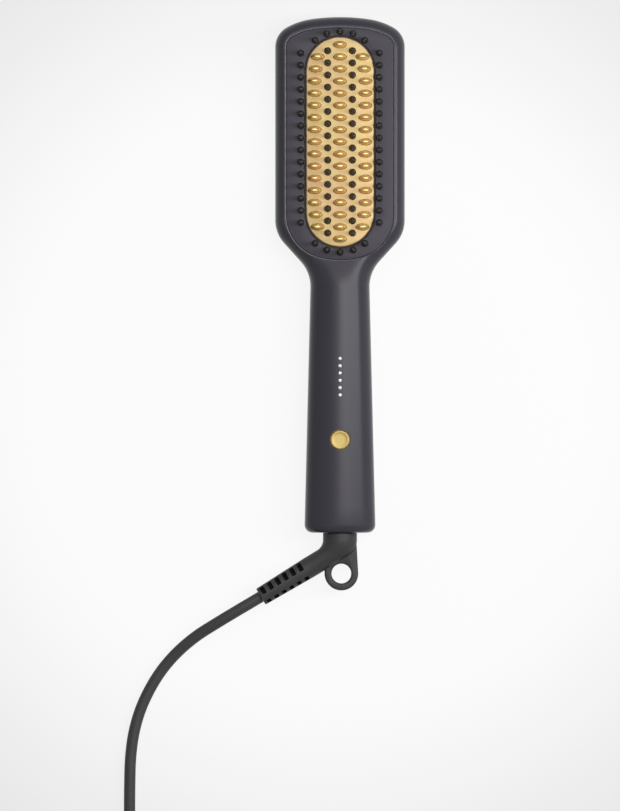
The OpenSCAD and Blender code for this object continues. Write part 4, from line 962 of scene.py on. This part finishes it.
def makeFrontShell():
    hollow = bodyHollow(True)
    carve(hollow,
          slab(panelOutline(-panel["ledge"]), ledgeZ - panel["ledgeThick"], far),
          drums(earPlaces, inside["ear"], earFoot, ledgeZ + inside["earUp"]),
          drum(0, bossY, inside["frontBoss"], inside["bossFoot"], far))
    edge = panel["rimEdge"]
    opening = gridOf([ringAt(panelOutline(inset), z) for inset, z in (
        (0, ledgeZ), (0, rimZ - edge), (-edge, rimZ + 0.001), (-edge, far))])
    through = slab(panelOutline(panel["ledge"]), seamZ - over, ledgeZ + over)
    carve(through, drums(earPlaces, inside["earClear"], seamZ - 2, ledgeZ + 2, 44))
    shell = bodyHalf(True, "frontShell")
    carve(shell, hollow, opening, through, makeScrewBores(),
          drum(0, bossY, inside["pilot"], seamZ - over, handleZ - inside["bossSkin"], 32),
          softBore(buttonY, buttonSet["wide"] / 2 + buttonSet["gap"], 72),
          joined([softBore(y, lightSet["wide"] / 2 + lightSet["gap"], 28)
                  for _, y in lightPlaces]),
          bushBore())
    giveFinish(shell, "shellPlastic")
    # the second finish, rimEdge, is a painted highlight: the rim's inner chamfer faces take it
    shell.data.materials.append(finishes["rimEdge"])
    for face in shell.data.polygons:
        at, way = face.center / mm, face.normal
        inwards = way.x * at.x + way.y * (at.y - plateY) < 0
        face.material_index = int(inwards and rimZ - edge < at.z < rimZ and 0.4 < way.z < 0.92)
    return smooth(shell, 30)


def makeRearShell():
    low, high, big = -2, 20, 200
    boardY = endY + inside["boardAt"]
    boardLong = lowAt[1] - panel["lowRadius"] - inside["boardShort"] - boardY
    boardPlaces = columns(inside["postX"], boardY + boardLong / 2, 2,
                          boardLong - 2 * inside["postIn"])
    shieldX, shieldY = plateRadius + inside["shieldOut"], plateLong / 2 - inside["shieldShort"]
    half = inside["blockHalf"]
    block = boxed(-half, half, endY + inside["blockFrom"], endY + inside["blockTo"])
    hollow = bodyHollow(False)
    carve(hollow,
          drums(earPlaces, inside["earPost"], low, earFoot, 32),
          joined([drums(boardPlaces, inside["post"], low, inside["postHigh"], 24),
                  drums(bothWays(shieldX, shieldY), inside["post"], low,
                        inside["shieldPostHigh"], 24),
                  drum(0, bossY, inside["rearBoss"], low, inside["bossFoot"], 40)]),
          slab(block, low, inside["blockHigh"]))
    shell = bodyHalf(False, "rearShell")
    carve(shell, hollow,
          slab(boxed(-big, big, -big, big), -9, 0),
          drums(earPlaces, inside["pilot"], ledgeZ - inside["pilotDeep"], high, 24),
          drums(boardPlaces, inside["smallPilot"], inside["smallPilotFoot"], high, 20),
          settle(turned(inside["seat"], 40), (0, bossY, 0)),
          bushBore())
    return smooth(shell, 30)


dress(makeFrontShell(), "housing", "shell", None, "front_shell")
print("front shell made")
dress(makeRearShell(), "housing", "shell", "shellPlastic", "rear_shell")
print("rear shell made")


def spike(foot, tip, high, fillet):  # a stiff bristle with a soft foot and a blunt tip
    blunt, below = tip * 0.35, -0.3
    top = high - blunt
    radii = [(0, below), (foot / 2 + fillet, below), (foot / 2 + fillet, 0),
             (foot / 2 + 0.35 * fillet, 0.4 * fillet), (foot / 2 - 0.02, 0.5),
             (mix(foot, tip, 0.5) / 2, high * 0.5), (tip / 2 + 0.02, top)]
    for degrees in (25, 50, 70, 82):
        up, out = towards((0, 0), 1, degrees)
        radii.append((tip / 2 * out, top + blunt * up))
    return turned(radii + [(0, high)], 28)


def makeBristlePanel():
    piece = slab(panelOutline(panel["gap"]), ledgeZ, panelZ, "bristlePanel")
    carve(piece, slab(stadium(plateRadius + plate["gap"]), ledgeZ - over, panelZ + over))
    roundEdges(piece, panel["edge"], 3, sharpAt(panelZ))
    return smooth(piece, 35)


def makeBristles():
    first = spike(panel["foot"], panel["tip"], panel["bristleHigh"], panel["footSoft"])
    lineAt = plateRadius + panel["off"]
    count = 1 + int((plateLong - panel["free"]) / panel["pitch"])
    places = columns(lineAt, plateY + panel["shift"], count, panel["pitch"])
    for side in (-1, 1):
        for i in range(panel["endCount"]):
            turn = (i - (panel["endCount"] - 1) / 2) * panel["endStep"]
            x, y = towards((0, plateArc), lineAt, turn)
            places.append((x, plateY + side * y))
    return smooth(copiesOf(first, places, panelZ, "bristles"), 50)


dress(makeBristlePanel(), "housing", "panel", "panelPlastic", "bristle_panel")
dress(makeBristles(), "housing", "panel", "bristlePlastic")
print("bristle panel made")


toothSteps = int((plateLong / 2 - plate["toothWide"]) / plate["pitch"])
pinPlaces = columns(pinX, plateY, 2 * toothSteps, plate["pitch"])
bracketPlaces = bothWays(toothX - 0.3, 0.4 * (plate["heaterLong"] - 10))


def makePlate():
    piece = slab(stadium(plateRadius), skirtZ, plateZ, "heaterPlate")
    roundEdges(piece, plate["edge"], 4, sharpAt(plateZ))
    flange = slab(stadium(plateRadius + plate["flange"]), skirtZ, skirtZ + plate["flangeThick"])
    useBoolean(piece, flange, "UNION")
    pocket = slab(stadium(plateRadius - plate["skirtThick"]), skirtZ - over, pocketZ)
    carve(pocket, drums(bracketPlaces, plate["bossRadius"], pocketZ - plate["carrier"],
                        pocketZ + over))
    radius = plate["pinFoot"] / 2 + plate["pinGap"]
    wide = radius + plate["pinSoft"]
    bore = turned([(0, -3), (radius, -3), (radius, -0.2), (wide, 0.01), (wide, 2), (0, 2)], 28)
    carve(piece, pocket, copiesOf(bore, pinPlaces, plateZ),
          drums(bracketPlaces, inside["smallPilot"], pocketZ - 3, pocketZ + 1.4, 20))
    return smooth(piece, 35)


def lens(long, wide):  # a leaf shaped outline across the plate, with blunt ends
    steps = 14
    beyond = plate["toothBlunt"] * long / plate["toothLong"]
    radius = ((long / 2 + beyond) ** 2 + (wide / 2) ** 2) / wide
    upper = []
    for i in range(steps + 1):
        x = -long / 2 * math.cos(math.pi * i / steps)
        y = math.sqrt(radius ** 2 - x ** 2) - (radius - wide / 2)
        upper.append((x, max(0, y) * math.sqrt(max(0, 1 - abs(2 * x / long) ** 8))))
    return upper[::-1] + [(x, -y) for x, y in upper[1:-1]]


def makeTooth():
    long, wide, tipLong = plate["toothLong"], plate["toothWide"], plate["toothTip"]
    tipWide = wide - (long - tipLong) * 0.62
    rows = []
    for z, grow, f in plate["toothLevels"]:
        rows.append(ringAt(lens(max(0.5, mix(long, tipLong, f) + grow * 1.3),
                                max(0.12, mix(wide, tipWide, f) + grow)), z))
    return gridOf(rows)


def makeTeeth():
    places = [(0, plateY + i * plate["pitch"]) for i in range(-toothSteps, toothSteps + 1)]
    sideSteps = toothSteps - 1
    for side in (-1, 1):
        for i in range(-sideSteps, sideSteps + 1):
            k = sideSteps - abs(i)
            inwards = plate["endIn"][k] if k < len(plate["endIn"]) else 0
            places.append((side * (toothX - inwards), plateY + i * plate["pitch"]))
    return smooth(copiesOf(makeTooth(), places, plateZ, "combTeeth"), 45)


def makePins():
    first = spike(plate["pinFoot"], plate["pinTip"], plate["pinHigh"] + plate["thick"], 0)
    pins = copiesOf(first, pinPlaces, pocketZ)
    width = pinX + plate["pinFoot"] / 2 + plate["carrierEdge"]
    halfLong = (toothSteps + 0.4) * plate["pitch"]
    carrier = slab(stadium(width, halfLong - width), pocketZ - plate["carrier"], pocketZ)
    x, y = pinX - plate["pinFoot"] / 2 - plate["heaterGap"] + 0.1, plate["heaterLong"] / 2 + 0.1
    carve(carrier, slab(boxed(-x, x, plateY - y, plateY + y), pocketZ - 4, pocketZ + 2))
    return smooth(joined([carrier, pins], "pinCarrier"), 50)


dress(makePlate(), "housing", "gold_plate", "plateGold", "heater_plate")
dress(makeTeeth(), "housing", "gold_plate", "combGold")
dress(makePins(), "housing", "nylon", "pinNylon", "pin_carrier")
print("heater plate made")


def makeButton():
    radius, top = buttonSet["wide"] / 2, handleZ + buttonSet["proud"]
    foot, wide = buttonSet["foot"], buttonSet["wide"] / 2 + buttonSet["flange"]
    flangeTop = foot + buttonSet["flangeThick"]
    profile = [(0, foot), (wide, foot), (wide, flangeTop), (radius, flangeTop)]
    profile += [(radius - inwards, top - down) for inwards, down in buttonSet["edge"]]
    button = turned(profile + [(0, top - buttonSet["dish"])], 72, "powerButton")
    return smooth(settle(button, (0, buttonY, 0)), 30)


def makeLightGuide():
    radius = lightSet["wide"] / 2
    foot = lightSet["foot"]
    pip = turned([(0, foot), (radius, foot), (radius, handleZ - 0.12),
                  (radius * 0.9, handleZ - 0.03), (radius * 0.6, handleZ + 0.04),
                  (0, handleZ + 0.06)], 28)
    pips = copiesOf(pip, lightPlaces, 0)
    halfWide, low, high = lightSet["bar"]
    halfLong = ((lightSet["count"] - 1) * lightSet["pitch"] + lightSet["barOver"]) / 2
    bar = slab(boxed(-halfWide, halfWide, lightAt - halfLong, lightAt + halfLong), low, high)
    roundEdges(bar, lightSet["barEdge"], 2, lambda angle, ends: angle > 50)
    return smooth(joined([bar, pips], "lightGuide"), 40)


dress(makeButton(), "button", "gold_button", "buttonGold", "power_button")
dress(makeLightGuide(), "housing", "lens", "lampPlastic", "light_guide")
print("button and lights made")


guard = {  # the bent cord guard with its hanging loop
    "collar": 17, "collarGap": 0.2, "foot": 17.6, "wide": 10.6, "endWide": 9.25,
    "outerBend": 9.4, "innerBend": 6.2, "slots": 6, "firstSlot": 2.6, "slotPitch": 4.36,
    "slotWide": 2, "core": 3.5, "slotTurns": ((5, 62), (118, 175), (219, 262), (278, 321)),
    "collarEdge": ((0.2, 0), (0.06, -0.06), (0, -0.2), (0, -0.8)),   # inset and place
    "endEdge": (   # way back from the end, and inset
        (0.2, 0.05), (0.06, 0.18), (0, 0.45), (0, 1.45), (0.15, 1.6), (1.2, 1.6)),
    "holeRadius": 4.9, "holeRim": 3.55, "holeSoft": 0.85, "loopAt": (0.7, -20.5),
    "loopThick": 3.2, "loopEdge": 1.1, "socket": (4.6, -5.4),
}


def guardRows():  # ovals given by their left point, right point and half depth
    r, inBend, outBend = guard["collar"] / 2, guard["innerBend"], guard["outerBend"]
    halfWide = guard["wide"] / 2
    bendAt = Vector((0, -guardBend, 0))
    start, end = bendAt + guard["foot"] * guardWay, bendAt + guardLong * guardWay

    def straight(f):
        middle, radius = start.lerp(end, f), mix(guard["wide"], guard["endWide"], f) / 2
        return middle + radius * guardUp, middle - radius * guardUp, radius

    innerLow, outerLow, _ = straight(0)
    tanHalf = math.tan(guardTurn / 2)
    slope = guardWay.y / guardWay.x
    innerMid = Vector((-r - inBend, innerLow.y - (innerLow.x + r) * slope + inBend * tanHalf, 0))
    outerMid = Vector((r - outBend, outerLow.y - (outerLow.x - r) * slope + outBend * tanHalf, 0))
    ovals = []
    for inset, y in guard["collarEdge"]:
        y -= guard["collarGap"]
        ovals.append((Vector((-r + inset, y, 0)), Vector((r - inset, y, 0)), r - inset))
    bendSteps = 14
    for i in range(bendSteps + 1):
        a, part = guardTurn * i / bendSteps, i / bendSteps
        way = Vector((math.cos(a), -math.sin(a), 0))
        ovals.append((innerMid + inBend * way, outerMid + outBend * way,
                      mix(r, halfWide, 0.5 * part ** 1.5)))
    a, b, depth = ovals[-1]
    for f in (0.25, 0.5, 0.75):
        ovals.append((a.lerp(innerLow, f), b.lerp(outerLow, f), mix(depth, halfWide, f)))
    ovals += [straight(f) for f in [i / 24 for i in range(24)] + [0.985]]
    left, right, radius = straight(1)
    for back, inset in guard["endEdge"]:
        ovals.append((left - inset * guardUp - back * guardWay,
                      right + inset * guardUp - back * guardWay, radius - inset))
    turns = [2 * math.pi * k / 56 for k in range(57)]
    rows = []
    for left, right, depth in ovals:
        middle, half = (left + right) / 2, (right - left) / 2
        rows.append([(middle.x + half.x * math.cos(t), endY + middle.y + half.y * math.cos(t),
                      seamZ + depth * math.sin(t)) for t in turns])
    return rows


def slotCutter(back, startTurn, endTurn):  # a part ring that leaves soft edges on both ribs
    core, half = guard["core"], guard["slotWide"] / 2
    straightLong = guardLong - guard["foot"]
    skin = mix(guard["endWide"], guard["wide"], back / straightLong) / 2
    upper = [(core, half - 0.5), (core + 0.12, half - 0.12), (core + 0.45, half),
             (skin - 0.3, half), (skin - 0.08, half + 0.07), (skin + 0.12, half + 0.25),
             (skin + 2, half + 0.25)]
    lower = [(radius, -z) for radius, z in upper]
    profile = lower[2::-1] + upper + lower[:2:-1]
    middle = guardEnd - back * guardWay
    steps, rows = 12, []
    for i in range(steps + 1):
        a = math.radians(mix(startTurn, endTurn, i / steps))
        out = math.cos(a) * Vector((0, 0, 1)) + math.sin(a) * guardUp
        rows.append([middle + radius * out + z * guardWay for radius, z in profile + profile[:1]])
    return gridOf(rows)


def makeLoop():
    x0, y0 = guard["loopAt"]
    radius, half = guard["holeRadius"] + guard["holeRim"], guard["loopThick"] / 2
    outline = [(guard["collar"] / 2 - 0.4, endY - guard["collarGap"] - 1.5)]
    outline += [(x, y) for x, y, _, _ in arcRun((x0, endY + y0), radius, 90, 270, 32)]
    outline += [(x0 - radius + 0.1, endY + y0 + 6), (0, endY - 6)]
    loop = slab(outline, seamZ - half, seamZ + half)
    roundEdges(loop, guard["loopEdge"], 5,
               lambda angle, ends: angle > 60 and abs(ends[0].z - ends[1].z) < 0.01)
    return loop


def makeLoopHole():
    x0, y0 = guard["loopAt"]
    radius, soft, half = guard["holeRadius"], guard["holeSoft"], guard["loopThick"] / 2
    profile = [(0, -6), (radius + 2.2, -6), (radius + soft, -half - 0.001)]
    for degrees in (30, 60, 90, 120, 150):
        out, up = towards((0, 0), 1, degrees)
        profile.append((radius + soft - soft * out, -half * up))
    profile += [(radius + soft, half + 0.001), (radius + 2.2, 6), (0, 6)]
    return settle(turned(profile, 56), (x0, endY + y0, seamZ))


def makeGuard():
    piece = gridOf(guardRows(), "cordGuard")
    slots = joined([slotCutter(guard["firstSlot"] + i * guard["slotPitch"], *turns)
                    for i in range(guard["slots"]) for turns in guard["slotTurns"]])
    # the slots' cut faces take the near-black slot colour, painted shade of the deep slots
    for shape in (piece, slots):
        giveFinish(shape, "guardRubber")
        shape.data.materials.append(finishes["slotPaintedShade"])
    for face in slots.data.polygons:
        face.material_index = 1
    carve(piece, slots)
    useBoolean(piece, makeLoop(), "UNION")
    radius, deep = guard["socket"]
    carve(piece, makeLoopHole(), alongHandle(radius, deep, over, 48))
    return smooth(piece, 38)


dress(makeGuard(), "swivel", "guard", None, "swivel_elbow")
print("cord guard made")


# the solids that stay as they are get their finishes

solidFinishes = {
    "sealSilicone": ["plate_seal"],
    "ceramicFinish": ["heater_strip"],
    "micaFinish": ["mica_sheet"],
    "steelFinish": ["heater_bracket", "bracket_screws", "thermal_fuse", "board_screws",
                    "head_screws", "handle_screw"],
    "shieldFibre": ["heat_shield"],
    "redSilicone": ["heater_leads"],
    "blueSheath": ["mains_leads"],
    "boardFibre": ["control_board"],
    "capacitorFilm": ["film_capacitor"],
    "componentResin": ["thermistor", "power_triac", "controller_chip", "tact_switch",
                       "contact_block", "swivel_barrel"],
    "lampPlastic": ["status_leds"],
    "whiteAcetal": ["swivel_bush", "switch_plunger"],
    "brassFinish": ["contact_leaves", "slip_rings"],
}
for finishName, nodeNames in solidFinishes.items():
    for nodeName in nodeNames:
        giveFinish(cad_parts[nodeName], finishName)
print("solids dressed")

selectNothing()
